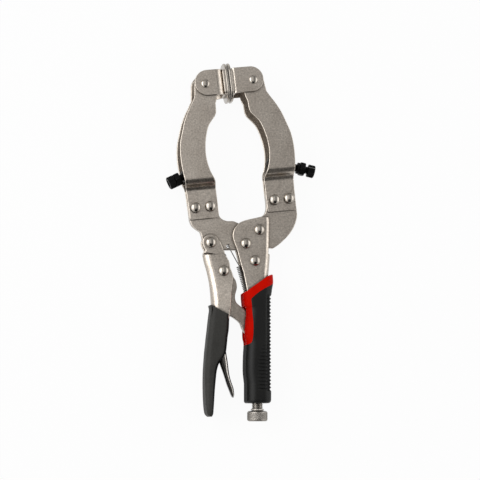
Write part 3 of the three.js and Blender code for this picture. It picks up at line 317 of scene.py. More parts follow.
def refined(node):
    """A copy of a CAD node with rounded edges, which stands for it."""
    mesh = copied(node)
    bmesh.ops.dissolve_limit(mesh, angle_limit=math.radians(flatness), verts=mesh.verts, edges=mesh.edges)
    layer = mesh.edges.layers.float.new("bevel_weight_edge")
    for edge in mesh.edges:
        if edge.is_manifold and edge.calc_face_angle(0.0) > math.radians(crease_angle):
            edge[layer] = 1.0
    piece = stand_in(node, mesh)
    rounding = piece.modifiers.new("rounding", "BEVEL")
    rounding.limit_method = "WEIGHT"
    rounding.width = crease_round * MM
    rounding.segments = crease_steps
    rounding.miter_outer = "MITER_ARC"
    rounding.use_clamp_overlap = True
    even_shading(piece)


# Outlines
corner_turn = 24         # an outline's turn sharper than this many degrees stays a corner
flat_turn = 0.15         # a turn below this many degrees is none
straight_ratio = 2.4     # a side this much longer than its neighbour stays straight
turn_steps = 3           # points drawn for each side of a smoothed outline


def outlines(node, least_tilt=0.9):
    """Closed outlines round a node's upward faces in the clamp's front half, the longest first."""
    mesh = copied(node)
    chosen = {face for face in mesh.faces
              if face.normal.z > least_tilt and face.calc_center_median().z > clamp_middle.z}
    following = {}
    for face in mesh.faces:
        if face not in chosen:
            continue
        for loop in face.loops:
            if not any(other in chosen for other in loop.edge.link_faces if other is not face):
                following[loop.vert] = loop.link_loop_next.vert
    found = []
    while following:
        first, vert = following.popitem()
        points = [first.co.copy()]
        while vert is not first:
            points.append(vert.co.copy())
            vert = following.pop(vert)
        found.append(without_flat_points(points))
    mesh.free()
    return sorted(found, key=outline_length, reverse=True)


def outline_length(points):
    return sum((a - b).length for a, b in zip(points, points[1:] + points[:1]))


def on_circle(turn, radius=1.0):
    return Vector((radius * math.cos(turn), radius * math.sin(turn)))


def mirrored(points):
    return [Vector((-point.x, point.y)) for point in points]


def without_flat_points(points):
    """Drops the points of a closed outline that lie on a straight stretch."""
    kept = []
    for i, point in enumerate(points):
        before = (point - points[i - 1]).xy
        after = (points[(i + 1) % len(points)] - point).xy
        if before.length > fine and abs(before.angle_signed(after, 0.0)) > math.radians(flat_turn):
            kept.append(point)
    return kept


def hermite(before, after, start, end, t):
    """Between two values, with the slopes that the curve has at them."""
    return (before * (1 - t) ** 2 * (1 + 2 * t) + after * t * t * (3 - 2 * t)
            + start * t * (1 - t) ** 2 - end * t * t * (1 - t))


def smoothed(points):
    """A closed outline in X and Y with its gentle turns drawn as curves and its corners kept."""
    spots = [point.xy for point in points]
    following = spots[1:] + spots[:1]
    sides = [after - spot for spot, after in zip(spots, following)]
    drawn = []
    for i, side in enumerate(sides):
        start = tangent(sides[i - 1], side) or side.normalized()
        end = tangent(side, sides[(i + 1) % len(sides)]) or side.normalized()
        slopes = (start * side.length, end * side.length)
        drawn += [hermite(spots[i], following[i], *slopes, step / turn_steps) for step in range(turn_steps)]
    return drawn


def tangent(before, after):
    """Direction of the curve where two sides meet, or None at a corner."""
    if before.angle(after, 0.0) > math.radians(corner_turn):
        return None
    if before.length > after.length * straight_ratio:
        return before.normalized()
    if after.length > before.length * straight_ratio:
        return after.normalized()
    blend = before.normalized() * after.length + after.normalized() * before.length
    return blend.normalized()


def outline_edge(points, y, side):
    """How far a closed outline reaches towards a side at a height."""
    reached = []
    for a, b in zip(points, points[1:] + points[:1]):
        if (a.y - y) * (b.y - y) <= 0 and abs(a.y - b.y) > 1e-6:
            reached.append(a.x + (b.x - a.x) * (y - a.y) / (b.y - a.y))
    return max(reached) if side > 0 else min(reached)


def curve_through(points, steps=8):
    """An open curve through points, as a list of them."""
    ends = [points[0] * 2 - points[1]] + points + [points[-1] * 2 - points[-2]]
    drawn = []
    for p0, p1, p2, p3 in zip(ends, ends[1:], ends[2:], ends[3:]):
        for i in range(steps):
            t = i / steps
            drawn.append((p1 * 2 + (p2 - p0) * t + (p0 * 2 - p1 * 5 + p2 * 4 - p3) * t * t
                          + (p1 * 3 - p0 - p2 * 3 + p3) * t ** 3) / 2)
    return drawn + [points[-1]]


def smooth_table(rows, place):
    """Values between a table's rows, the first column being the place."""
    for index, (before, after) in enumerate(zip(rows, rows[1:])):
        if place <= after[0] or after is rows[-1]:
            room = after[0] - before[0]
            t = clamped((place - before[0]) / room)
            left = rows[max(index - 1, 0)]
            right = rows[min(index + 2, len(rows) - 1)]
            found = []
            for k in range(1, len(before)):
                start = (after[k] - left[k]) / (after[0] - left[0]) * room
                end = (right[k] - before[k]) / (right[0] - before[0]) * room
                found.append(hermite(before[k], after[k], start, end, t))
            return found


def steps_between(low, high, pitch):
    count = max(1, math.ceil((high - low) / pitch))
    return [low + (high - low) * i / count for i in range(count + 1)]


def wave(x):
    """A triangle wave from 0 to 1 and back over each whole number."""
    return 1 - abs(2 * (x - math.floor(x)) - 1)


def clamped(x, low=0.0, high=1.0):
    return min(max(x, low), high)


def eased(x, low, high):
    """Smoothly from 0 at low to 1 at high."""
    t = clamped((x - low) / (high - low))
    return t * t * (3 - 2 * t)


# Solids
slab_round_steps = 2     # on each side of a slab's rounded edge, as the curve counts them
cut_slack = 1e-5         # a vertex this close to a cut lies on it


def flat_slab(loops, half, rounding):
    """A plate on Z = 0 with rounded edges, from outlines in X and Y."""
    curve = bpy.data.curves.new("outline", "CURVE")
    curve.dimensions = "2D"
    curve.fill_mode = "BOTH"
    curve.extrude = half - rounding
    curve.bevel_depth = rounding
    curve.bevel_resolution = slab_round_steps
    curve.offset = -rounding
    for points in loops:
        spline = curve.splines.new("POLY")
        spline.points.add(len(points) - 1)
        for spot, point in zip(spline.points, points):
            spot.co = (point[0], point[1], 0, 1)
        spline.use_cyclic_u = True
    holder = placed("outline", curve)
    mesh = made_mesh(holder)
    bmesh.ops.remove_doubles(mesh, verts=mesh.verts, dist=fine)
    bpy.data.objects.remove(holder)
    bpy.data.curves.remove(curve)
    return mesh


def made_mesh(holder):
    """What an object's modifiers or its curve make of it."""
    shown = holder.evaluated_get(bpy.context.evaluated_depsgraph_get())
    data = bpy.data.meshes.new_from_object(shown)
    mesh = bmesh.new()
    mesh.from_mesh(data)
    bpy.data.meshes.remove(data)
    return mesh


def slice_mesh(mesh, way, places):
    """Cuts a mesh's faces along planes that stand across a direction, so that it can bend there."""
    for place in places:
        parts = mesh.verts[:] + mesh.edges[:] + mesh.faces[:]
        bmesh.ops.bisect_plane(mesh, geom=parts, dist=cut_slack, plane_co=way * place, plane_no=way)


def turned(profile, sides, place, open_bore=False):
    """A solid of revolution. The profile holds (radius, height), the radius a number or a function of
    the turn. With an open bore the profile runs round the section and closes on itself."""
    turns = [2 * math.pi * i / sides for i in range(sides)]
    rings = []
    for radius, height in profile:
        around = radius if callable(radius) else (lambda turn, r=radius: r)
        rings.append([place @ Vector((*on_circle(turn, around(turn)), height)) for turn in turns])
    return lofted(rings, open_bore)


def lofted(rings, closed=False):
    """A solid through rings of points, with flat ends or closed on itself."""
    mesh = bmesh.new()
    made = [[mesh.verts.new(point) for point in ring] for ring in rings]
    count = len(made[0])
    for low, high in zip(made, made[1:] + made[:1] if closed else made[1:]):
        for i in range(count):
            j = (i + 1) % count
            mesh.faces.new((low[i], low[j], high[j], high[i]))
    if not closed:
        mesh.faces.new(list(reversed(made[0])))
        mesh.faces.new(made[-1])
    return mesh


def along(way, start):
    """Places a turned solid with its axis along a direction, from a start point."""
    return Matrix.Translation(start) @ way.to_track_quat("Z", "Y").to_matrix().to_4x4()


def frame_spots(node):
    """A node's vertices in millimetres."""
    return [vert.co / MM for vert in frame["nodes"][node].data.vertices]


def span(node, way, start):
    """How far a node reaches along a direction, from a start point."""
    places = [(spot - start).dot(way) for spot in frame_spots(node)]
    return min(places), max(places)


def prism(points, low, high):
    """A straight solid over an outline in X and Y."""
    return lofted([[Vector((p[0], p[1], level)) for p in points] for level in (low, high)])


def brick(left, right, low, high, half):
    """A block in X and Y that reaches as far to both sides of the clamp's middle plane."""
    corners = [(left, low), (right, low), (right, high), (left, high)]
    return prism(corners, clamp_middle.z - half, clamp_middle.z + half)


def round_box(low, high, half, corner, share):
    """A place on a rounded section and its outward direction. Share 0 is the middle of the right side,
    and shares grow towards the front. Both in X and Z."""
    tall = half - corner
    wide = (high - low) / 2 - corner
    arc = corner * math.pi / 2
    run = share * (4 * tall + 4 * wide + 4 * arc)
    middle = (low + high) / 2
    sides = [((wide, 0), 0, tall), ((wide, tall), 0, arc), ((wide, tall), 1, 2 * wide),
             ((-wide, tall), 1, arc), ((-wide, tall), 2, 2 * tall), ((-wide, -tall), 2, arc),
             ((-wide, -tall), 3, 2 * wide), ((wide, -tall), 3, arc), ((wide, -tall), 4, tall)]
    for index, (spot, quarter, length) in enumerate(sides):
        if run <= length or index == len(sides) - 1:
            turn = quarter * math.pi / 2
            if index % 2:
                turn += run / corner
                run = 0.0
            out = on_circle(turn)
            ahead = Vector((-out.y, out.x))
            return Vector((middle + spot[0], spot[1])) + out * corner + ahead * run, out
        run -= length


def section(left, right, half, corner, count, y, cut=None):
    """A level ring of points round a rounded section. A cut gives how deep it is carved at a place."""
    ring = []
    for i in range(count):
        spot, out = round_box(left, right, half, corner, i / count)
        if cut:
            spot -= out * cut(spot.x, y)
        ring.append(Vector((spot.x, y, clamp_middle.z + spot.y)))
    return ring


def held(mesh):
    """An object that is in the scene only for a cutting step."""
    bmesh.ops.recalc_face_normals(mesh, faces=mesh.faces)
    return placed("tool", as_data("tool", mesh))


def carved(mesh, tools, operation="DIFFERENCE"):
    """Cuts closed meshes out of a closed mesh, or keeps what they share."""
    base = held(mesh)
    others = [held(tool) for tool in tools]
    for other in others:
        step = base.modifiers.new("cut", "BOOLEAN")
        step.operation = operation
        step.solver = "MANIFOLD"
        step.object = other
    done = made_mesh(base)
    for used in [base] + others:
        bpy.data.objects.remove(used)
    return done


# Rivets with domed heads on both sides
dome_steps = 10
dome_sides = 48
dome_crease = 50         # edges sharper than this many degrees stay sharp, here and in the values below
dome_rim_share = 0.97    # the dome's underside, as a share of its radius
dome_tip_share = 0.02
dome_sink = 0.25         # how far the underside lies below the dome's widest ring
shank_radius = 2.7
rivet_crown = 2.3        # height of a dome
pad_rivet_crown = 1.4


def rivet(node, crown):
    low, high = node_box(node)
    radius = (high.x - low.x) / 2
    half = (high.z - low.z) / 2
    face = half - crown
    upper = [(shank_radius, face - dome_sink), (radius * dome_rim_share, face - dome_sink)]
    for i in range(dome_steps):
        lift = i / dome_steps * math.pi / 2
        upper.append((radius * math.cos(lift), face + crown * math.sin(lift)))
    upper.append((radius * dome_tip_share, half))
    profile = [(r, -z) for r, z in reversed(upper)] + upper
    stand_in(node, turned(profile, dome_sides, Matrix.Translation(node_middle(node))), dome_crease)


for part in record["subparts"]:
    if "rivet" in part["node"] and "pad" not in part["node"]:
        rivet(part["node"], rivet_crown)
for side in ("left", "right"):
    rivet(f"{side}_pad_rivet", pad_rivet_crown)

# Plates, and arm plates that step outwards through two round bends
plate_round = 0.6        # radius of a plate's rounded edges
arm_tilt = 0.5           # an arm plate's step is tilted, and counts as its outer face all the same
jaw_tilt = math.radians(7)
jaw_up = Vector((-math.sin(jaw_tilt), math.cos(jaw_tilt), 0))
jaw_across = Vector((math.cos(jaw_tilt), math.sin(jaw_tilt), 0))
joggle_slices = 24
joggle_slack = 0.01      # vertices whose levels differ by less lie on one level
# How far the step's ends are moved along the jaw from their places in the node
joggle_shift = {"left": (-2.5, 0.0), "right": (-0.5, 2.3)}


def plate(node, finish=None):
    """A flat plate drawn from its node's outlines."""
    low, high = node_box(node)
    mesh = flat_slab([smoothed(points) for points in outlines(node)], (high.z - low.z) / 2, plate_round)
    bmesh.ops.translate(mesh, vec=(0, 0, (low.z + high.z) / 2), verts=mesh.verts)
    even_shading(stand_in(node, mesh, finish=finish))


def arm_plate(side, face):
    node = f"{side}_arm_{face}_plate"
    facing = 1 if face == "front" else -1
    middle = clamp_middle.z
    levels = sorted({round(abs(spot.z - middle), 3) for spot in frame_spots(node)})
    thick = levels[1] - levels[0]
    rise = levels[-1] - levels[1]
    foot = levels[0] + thick / 2
    front = f"{side}_arm_front_plate"
    mesh = flat_slab([smoothed(points) for points in outlines(front, arm_tilt)], thick / 2, plate_round)
    start, end = (place + shift
                  for place, shift in zip(joggle_span(front, middle, levels), joggle_shift[side]))
    run = end - start
    bend = run / 2 / math.sin(2 * math.atan(rise / run))
    slice_mesh(mesh, jaw_up, steps_between(start, end, run / joggle_slices))
    for vert in mesh.verts:
        t = clamped(vert.co.dot(jaw_up) - start, 0.0, run)
        near = min(t, run - t)
        lift = bend - math.sqrt(bend * bend - near * near)
        slope = math.asin(near / bend)
        height = lift if t <= run / 2 else rise - lift
        off = vert.co.z
        vert.co -= jaw_up * off * math.sin(slope)
        vert.co.z = middle + facing * (foot + height + off * math.cos(slope))
    even_shading(stand_in(node, mesh))


def joggle_span(node, middle, levels):
    """Where an arm plate's step starts and ends along the jaw, seen on its outer face."""
    lower, upper = ([spot.dot(jaw_up) for spot in frame_spots(node)
                     if abs(spot.z - middle - level) < joggle_slack] for level in (levels[1], levels[-1]))
    return max(place for place in lower if place < min(upper)), min(upper)


for name in ("fixed_jaw_plate", "moving_jaw_plate"):
    plate(name)
plate("toggle_link", "painted_shade_nickel")
for side in ("left", "right"):
    for face in ("front", "rear"):
        arm_plate(side, face)

# Channels: one sheet folded round its spine. S runs round the section from the middle of the spine.
handle_sheet = 2.0
shell_round = 0.8        # radius of the sheet's edges
fixed_bend = 5.2         # radius of the bend between the spine and the cheeks
moving_bend = 6.2
fixed_slot_half = 3.2    # slot in the fixed spine, which is open above
fixed_slot_low = -10.0
moving_spine_top = -11.3
spine_shift = 0.9        # the fixed handle's spine lies this much further out than its node's
shift_run = (-46.0, -30.0)  # from none inside the grip to all of it above
moving_splay = 5.5       # degrees by which the moving handle's cheeks open towards their free edges
splay_start = (22.0, 42.0)  # below the clamp's middle, where they start to and where they have
splay_end = (50.0, 62.0)    # and where they close again, inside the grip
bend_pitch = 0.4         # cuts across a sheet's bends
fold_pitch = 3.0         # cuts across a channel's length
fold_reach = 0.02        # how far past a spine's upper end its sheet still folds
corner_reach = 0.5       # an outline's points this close above the spine's upper end make way for it
level_slack = 0.05       # points of a cheek whose levels differ by less lie on one level
end_margin = 0.01        # kept from an outline's ends where its width is read
back_samples = (-3, -2, -1, 0, 1, 2, 3)  # up and down, where the spine's line is read for its mean


def cheek_widths(cheek):
    """Half the width over a channel as a function of height, from its cheek's own outline, and the
    half widths at its lower and upper end."""
    heights = sorted((p.y, p.z - clamp_middle.z) for p in cheek)
    wide, narrow = heights[0][1], heights[-1][1]
    flare_low = max(y for y, z in heights if abs(z - wide) < level_slack)
    flare_high = min(y for y, z in heights if abs(z - narrow) < level_slack)
    return lambda y: wide + (narrow - wide) * eased(y, flare_low, flare_high), wide, narrow


def folded(s, off, straight, bend, sheet, flat=False):
    """How far in from its spine, and how far across, a spot of a sheet lies once the sheet is folded
    round a bend on each side. Flat keeps it in the plane of its cheek."""
    mean_bend = bend - sheet / 2
    bend_run = mean_bend * math.pi / 2
    past = abs(s) - straight
    facing = 1 if s >= 0 else -1
    if flat or past >= bend_run:
        return bend + past - bend_run, facing * (straight + bend - sheet / 2 + off)
    if past <= 0:
        return sheet / 2 - off, s
    angle = past / mean_bend
    across = straight + (mean_bend + off) * math.sin(angle)
    return bend - (mean_bend + off) * math.cos(angle), facing * across


def channel(node, side, bend, spine_top, slot_half=0.0, slot_low=0.0, reach=None, splay=0.0,
            shift=0.0):
    """A handle's shell: its sheet is unfolded from its cheek's outline, cut out flat and folded back."""
    outer, *holes = outlines(node)
    half_width, *ends = cheek_widths(outer)
    bottom = min(p.y for p in outer)
    bend_run = (bend - handle_sheet / 2) * math.pi / 2

    def back(y):
        levels = [clamped(y + step, bottom + end_margin, spine_top - end_margin) for step in back_samples]
        edge = sum(outline_edge(outer, level, side) for level in levels) / len(levels)
        return edge + side * shift * eased(y, *shift_run)

    def unfold(point):
        inward = side * (back(point.y) - point.x)
        return Vector((half_width(point.y) - bend + bend_run + inward - bend, point.y))

    free = open_edge(outer, side, bend, spine_top)
    if reach:
        free = [Vector((min(p.x, reach(p.y)), p.y)) for p in free]
    edge = [unfold(p) for p in free]
    notch = []
    if slot_half:
        notch = [Vector((slot_half, edge[-1].y)), Vector((slot_half, slot_low))]
    half_loop = edge + notch
    loops = [half_loop + mirrored(reversed(half_loop))]
    for hole in holes:
        shape = [unfold(p.xy) for p in smoothed(hole)]
        loops += [shape, mirrored(shape)]
    mesh = flat_slab(loops, handle_sheet / 2, shell_round)
    for way in (axis_x, -axis_x):
        slice_mesh(mesh, way, steps_between(min(ends) - bend, max(ends) - bend + bend_run, bend_pitch))
    slice_mesh(mesh, axis_y, steps_between(bottom, spine_top, fold_pitch)[1:])
    for vert in mesh.verts:
        s, y, off = vert.co
        inward, z = folded(s, off, half_width(y) - bend, bend, handle_sheet, y >= spine_top + fold_reach)
        if inward >= bend:
            lean = math.tan(math.radians(splay)) * eased(-y, *splay_start) * (1 - eased(-y, *splay_end))
            z += math.copysign((inward - bend) * lean, s)
            inward -= off * lean
        vert.co = Vector((back(y) - side * inward, y, clamp_middle.z + z))
    even_shading(stand_in(node, mesh))


def open_edge(outer, side, bend, spine_top):
    """The free edge of a cheek, from the spine's lower end round to its upper end."""
    drawn = smoothed(outer)
    low = min(p.y for p in drawn)
    keep = []
    for p in drawn:
        reach = outline_edge(outer, clamped(p.y, low + end_margin, spine_top - end_margin), side)
        keep.append(side * (reach - p.x) > bend or p.y > spine_top + corner_reach)
    first = next(i for i in range(len(drawn)) if keep[i] and not keep[i - 1])
    run = []
    for i in range(len(drawn)):
        j = (first + i) % len(drawn)
        if not keep[j]:
            break
        run.append(drawn[j])
    if run[0].y > run[-1].y:
        run.reverse()
    lower_end = outline_edge(outer, low + end_margin, side)
    upper_end = outline_edge(outer, spine_top - end_margin, side)
    return ([Vector((lower_end - side * bend, low))] + run
            + [Vector((upper_end - side * bend, spine_top))])


channel("fixed_handle_shell", 1, fixed_bend, node_box("fixed_handle_shell")[1].y, fixed_slot_half,
        fixed_slot_low, shift=spine_shift)

# Small parts that keep their nodes' shapes and get rounded edges
for name in ("screw_collar", "adjuster_nut", "left_threaded_block", "right_threaded_block",
             "left_pad_spacer", "right_pad_spacer", "spring_anchor_pin", "lever_pin"):
    refined(name)

# Pads: a bracket bent from sheet round both sides of the arm's end, a clamping plate and its seat
pad_sheet = 1.5
pad_sheet_round = 0.35
pad_bend = {"left": 7.6, "right": 2.6}  # outer radius
pad_bend_cuts = 8
pad_arc_steps = 32
pad_face_round = 0.5
pad_face_corner = 9.0
seat_sunk = 0.5          # how far the seat reaches into the clamping plate
seat_reach = 2.2         # and out round the bracket's web
seat_corner = 2.0
seat_narrower = 0.3      # than the bracket, on each side
seat_shorter = 0.2       # than the bracket, at each end
corner_steps = 12


def upright(pivot, out, wide, tall, corner, back, end, level):
    """A rounded plate across a pad, from back to end along the way out from its pivot."""
    outline = []
    for index, (side, rise) in enumerate(((1, 1), (-1, 1), (-1, -1), (1, -1))):
        centre = Vector(((wide - corner) * side, (tall - corner) * rise))
        for i in range(corner_steps + 1):
            turn = math.pi / 2 * (index + i / corner_steps)
            outline.append(centre + on_circle(turn) * corner)
    mesh = flat_slab([outline], (end - back) / 2, pad_face_round)
    for vert in mesh.verts:
        z, v, off = vert.co
        vert.co = pivot + out * ((back + end) / 2 + off) + jaw_up * (level + v) + axis_z * z
    return mesh


def pad(side, out):
    """Out points from the bracket's web to its round ends."""
    node = f"{side}_pad_bracket"
    pivot = node_middle(f"{side}_pad_rivet")
    near, end = span(node, out, pivot)
    low, high = span(node, jaw_up, pivot)
    half = span(node, axis_z, pivot)[1]
    tall = (high - low) / 2
    level = (low + high) / 2
    bend = pad_bend[side]
    bend_run = (bend - pad_sheet / 2) * math.pi / 2
    straight = half - bend
    flange = straight + bend_run + (end - tall - near - bend)
    pattern = []
    for sign in (1, -1):
        for i in range(pad_arc_steps + 1):
            turn = math.pi * (i / pad_arc_steps - 0.5)
            pattern.append(Vector((sign * (flange + tall * math.cos(turn)), sign * tall * math.sin(turn))))
    mesh = flat_slab([pattern], pad_sheet / 2, pad_sheet_round)
    places = steps_between(straight, straight + bend_run, bend_run / pad_bend_cuts)
    slice_mesh(mesh, axis_x, [-place for place in places] + places)
    for vert in mesh.verts:
        s, v, off = vert.co
        inward, z = folded(s, off, straight, bend, pad_sheet)
        vert.co = pivot + out * (near + inward) + jaw_up * (level + v) + axis_z * z
    even_shading(stand_in(node, mesh, finish="pad_nickel"))

    node = f"{side}_pad_face"
    near, end = span(node, out, pivot)
    low, high = span(node, jaw_up, pivot)
    even_shading(stand_in(node, upright(pivot, out, half, (high - low) / 2, pad_face_corner, near, end,
                                        (low + high) / 2)))
    seat = upright(pivot, out, half - seat_narrower, tall - seat_shorter, seat_corner, end - seat_sunk,
                   end + seat_reach, level)
    even_shading(new_object(f"{side}_pad_backing", seat, slot_of_node(node), body_of_node(node),
                            finish="pad_nickel"))


pad("left", -jaw_across)
pad("right", jaw_across)

# Threads, and the side screws with their nuts
thread_steps = 8         # rings per turn of a thread
thread_slope = 1.7       # how much steeper a thread's flanks are than a plain triangle's
thread_root = 0.35       # and how much of the triangle its root cuts off
side_pitch = 1.0
side_radius = 3.0
side_root = 2.5
side_tip_radius = 1.75
side_tip_length = 0.6
side_thread_start = 0.8  # from the tip
side_thread_end = 0.3    # under the head
side_neck = 0.1
side_crease = 32         # for nuts and the washer too
side_head_radius = 5.0
side_head_length = 5.4
side_head_teeth = 44
side_tooth_depth = 0.16
side_tooth_steps = 4
side_head_chamfer = 0.5
socket_radius = 2.9
socket_depth = 3.0
socket_chamfer = 0.35
socket_rim = 0.05        # by which the rim is narrower than the socket's corners
socket_tip = (0.87, 0.3)  # radius and depth of its cone
nut_radius = 5.6
nut_chamfer = 0.5
nut_chamfer_height = 0.4
nut_sides = 96
nut_clearance = 0.15
washer_radius = 4.5
washer_chamfer = 0.2
washer_sides = 64
washer_clearance = 0.2


def threaded(radius, root, pitch, low, high):
    """Rings of a helical thread between two heights."""
    count = math.ceil((high - low) / pitch * thread_steps)
    rings = []
    for i in range(count + 1):
        height = low + (high - low) * i / count

        def around(turn, height=height):
            depth = clamped(wave(height / pitch - turn / (2 * math.pi)) * thread_slope - thread_root)
            return root + (radius - root) * depth
        rings.append((around, height))
    return rings


def hexagon(across_corners):
    def around(turn):
        inside = across_corners * math.cos(math.pi / 6)
        return inside / math.cos((turn + math.pi / 6) % (math.pi / 3) - math.pi / 6)
    return around


def chamfered(around, limit):
    return lambda turn: min(around(turn), limit)


def toothed(turn):
    return side_head_radius - side_tooth_depth * wave(turn * side_head_teeth / (2 * math.pi))


def screw_line(side):
    """Direction and start of a side screw's axis."""
    joint = joint_of(f"{side}_screw_turn")
    return Vector(joint["axis"]), Vector(joint["pos_m"]) / MM


def side_screw(side):
    way, start = screw_line(side)
    node = f"{side}_side_screw"
    tip, end = span(node, way, start)
    under = end - side_head_length
    bottom = end - socket_depth
    flat = side_head_radius - side_head_chamfer
    socket = hexagon(socket_radius)
    rim = chamfered(socket, socket_radius - socket_rim)
    profile = [(side_tip_radius, tip), (side_root, tip + side_tip_length)]
    profile += threaded(side_radius, side_root, side_pitch, tip + side_thread_start,
                        under - side_thread_end)
    profile += [(side_root, under - side_neck), (flat, under), (toothed, under + side_head_chamfer / 2)]
    profile += [(toothed, under + side_head_chamfer), (toothed, end - side_head_chamfer), (flat, end)]
    profile += [(socket_radius + socket_chamfer, end), (rim, end - socket_chamfer), (socket, bottom)]
    profile += [(socket_tip[0], bottom - socket_tip[1])]
    stand_in(node, turned(profile, side_head_teeth * side_tooth_steps, along(way, start)), side_crease)


def ring_on_screw(node, side, outer, face, chamfer, bore, sides):
    """A nut or washer round a side screw, with a bevel from its outer radius to the one of its faces."""
    way, start = screw_line(side)
    low, high = span(node, way, start)
    profile = [(bore, low), (face, low), (outer, low + chamfer)]
    profile += [(outer, high - chamfer), (face, high), (bore, high)]
    stand_in(node, turned(profile, sides, along(way, start), open_bore=True), side_crease)


nut_flats = hexagon(nut_radius)
for side in ("left", "right"):
    side_screw(side)
    ring_on_screw(f"{side}_jam_nut", side, nut_flats, chamfered(nut_flats, nut_radius - nut_chamfer),
                  nut_chamfer_height, side_radius + nut_clearance, nut_sides)
ring_on_screw("right_washer", "right", washer_radius, washer_radius - washer_chamfer, washer_chamfer,
              side_radius + washer_clearance, washer_sides)

# Adjusting screw and its knurled knob, turned round one line along Y
screw_pitch = 1.25
screw_radius = 4.35
screw_root = 3.75
screw_sides = 80
screw_crease = 40
screw_tip_bare = 1.2     # the thread ends this far under the screw's tip
screw_tip_chamfer = 0.9
screw_tip_radius = 3.0
knob_radius = 7.9
knob_round = 1.6
knob_crease = 60
knob_pitch = 0.16        # between the knob's rings
knob_margin = 0.01
knob_dimple = [(0.6, 0.5), (2.6, 0.35), (3.0, 0.0)]  # radius and depth of the hollow in its end
knurl_count = 34
knurl_steps = 8
knurl_pitch = 1.45
knurl_depth = 0.28
knurl_slope = 2.2
knurl_fade = (0.9, 1.9)  # from the knob's ends, where the knurl starts and where it is full
screw_start = node_middle("adjusting_screw")
screw_low, screw_high = span("adjusting_screw", axis_y, screw_start)
screw_place = along(axis_y, screw_start)
screw_profile = threaded(screw_radius, screw_root, screw_pitch, screw_low, screw_high - screw_tip_bare)
screw_profile += [(screw_root, screw_high - screw_tip_chamfer), (screw_tip_radius, screw_high)]
stand_in("adjusting_screw", turned(screw_profile, screw_sides, screw_place), screw_crease)


def grooves(u, v, slope):
    """Depth from 0 to 1 of two crossing sets of grooves, where their lines are one unit apart."""
    return max(clamped(1 - wave(u + v) * slope), clamped(1 - wave(u - v) * slope))


def knurled(height, low, high):
    """Radius round the knob at a height."""
    near = min(height - low, high - height)
    radius = knob_radius
    if near < knob_round:
        radius += math.sqrt(knob_round ** 2 - (knob_round - near) ** 2) - knob_round
    fade = eased(near, *knurl_fade)

    def around(turn):
        groove = grooves(turn * knurl_count / (2 * math.pi), (height - low) / knurl_pitch, knurl_slope)
        return radius - knurl_depth * groove * fade
    return around


knob_low, knob_high = span("adjusting_knob", axis_y, screw_start)
knob_profile = [(radius, knob_low + depth) for radius, depth in knob_dimple]
knob_profile += [(knurled(height, knob_low, knob_high), height)
                 for height in steps_between(knob_low + knob_margin, knob_high - knob_margin, knob_pitch)]
knob_profile += [(screw_root, knob_high)]
stand_in("adjusting_knob", turned(knob_profile, knurl_count * knurl_steps, screw_place), knob_crease,
         "knob_steel")

# Fixed grip. Its trims are shares of its half width, and their runs are shares of its length.
pivot = node_middle("main_pivot_rivet")
grip_corner = 7.0
grip_crease = 38
grip_trim = 0.055        # by which it is slimmer on its right below its head
trim_run = (0.05, 0.12)  # down from its head, where that starts and where it is full
grip_left_trim = 0.085   # and the same on its left
left_trim_run = (0.16, 0.26)
grip_least = 0.9         # what the channel inside needs on the left
grip_top = 24.0          # main pivot down to the grip's upper end
grip_count = 250         # points round a section
grip_pitch = 0.28        # between sections
grip_front = 1.58        # rubber in front of the channel
grip_back = 2.74         # and behind its spine
seam = 0.05              # between the grip and its red accent
room_pitch = 2.0
fixed_clearance = 0.15   # between a channel and its grip
moving_clearance = 0.1
slot_in = 1.2            # the toggle link's slot: its end right of the main pivot
slot_down = 49.178       # its upper end below the main pivot
slot_end = 77.0          # and its lower end
link_slot_half = 3.2
accent_past_slot = 3.0   # how far the accent's tongue goes on below the slot
spring_mouth_in = 4.2    # the spring's opening: right end, lower end, half width
spring_mouth_down = 43.0
spring_mouth_half = 2.5
screw_bore = 4.95
bore_sides = 48
cheek_margin = 1.0       # from the cheek's lower end to where its width is read for the grip
far = 40.0               # past every side of the clamp's handles

# Ribs: teeth on the edge, a band of small diamonds beside them, and bars further in
rib_pitch = 2.75
rib_depth = 1.1
rib_below = 8.6          # the accent's edge down to the first rib
rib_end = 9.0            # the last rib up from the grip's lower end
tooth_fade = (0.9, 3.2)  # in from the edge, where the teeth start to run out and where they have
band_start = (0.5, 1.4)  # in from the edge, where the diamonds start and where they are full
band_end = (4.2, 5.2)
cross_width = 1.4        # of a diamond
cross_depth = 0.6
cross_slope = 2.4
bar_depth = 0.5
bar_slope = 2.2
bar_root = 0.9
bar_start = (4.4, 5.4)
bar_end = (6.0, 8.0)     # on the grip's upper half
bar_growth = (3.0, 5.0)  # and how much further in on its lower half
lower_half = (34.0, 52.0)  # down from the first rib
upper_share = 0.12       # of the bars' depth on the upper half

# Down, left and right of the screw's axis, and half thickness, as shares
fixed_grip_rows = [
    (-0.02, 1.16, 1.107, 0.84), (0.075, 1.16, 1.147, 0.9), (0.14, 1.15, 1.066, 0.96),
    (0.17, 1.15, 1.015, 0.99), (0.21, 1.16, 1.005, 1), (0.25, 1.15, 1, 1), (0.266, 1.03, 1, 1),
    (0.31, 0.99, 1, 1), (0.36, 1.04, 1, 1), (0.44, 1.11, 1, 1), (0.49, 1.11, 1, 1), (0.54, 1.02, 1, 1),
    (0.63, 1.06, 1, 1), (0.75, 1.08, 1, 1), (0.82, 1.02, 1, 1), (0.88, 0.95, 1, 1),
    (0.97, 0.92, 0.995, 1), (0.99, 0.9, 0.964, 0.97), (1, 0.82, 0.873, 0.9),
]
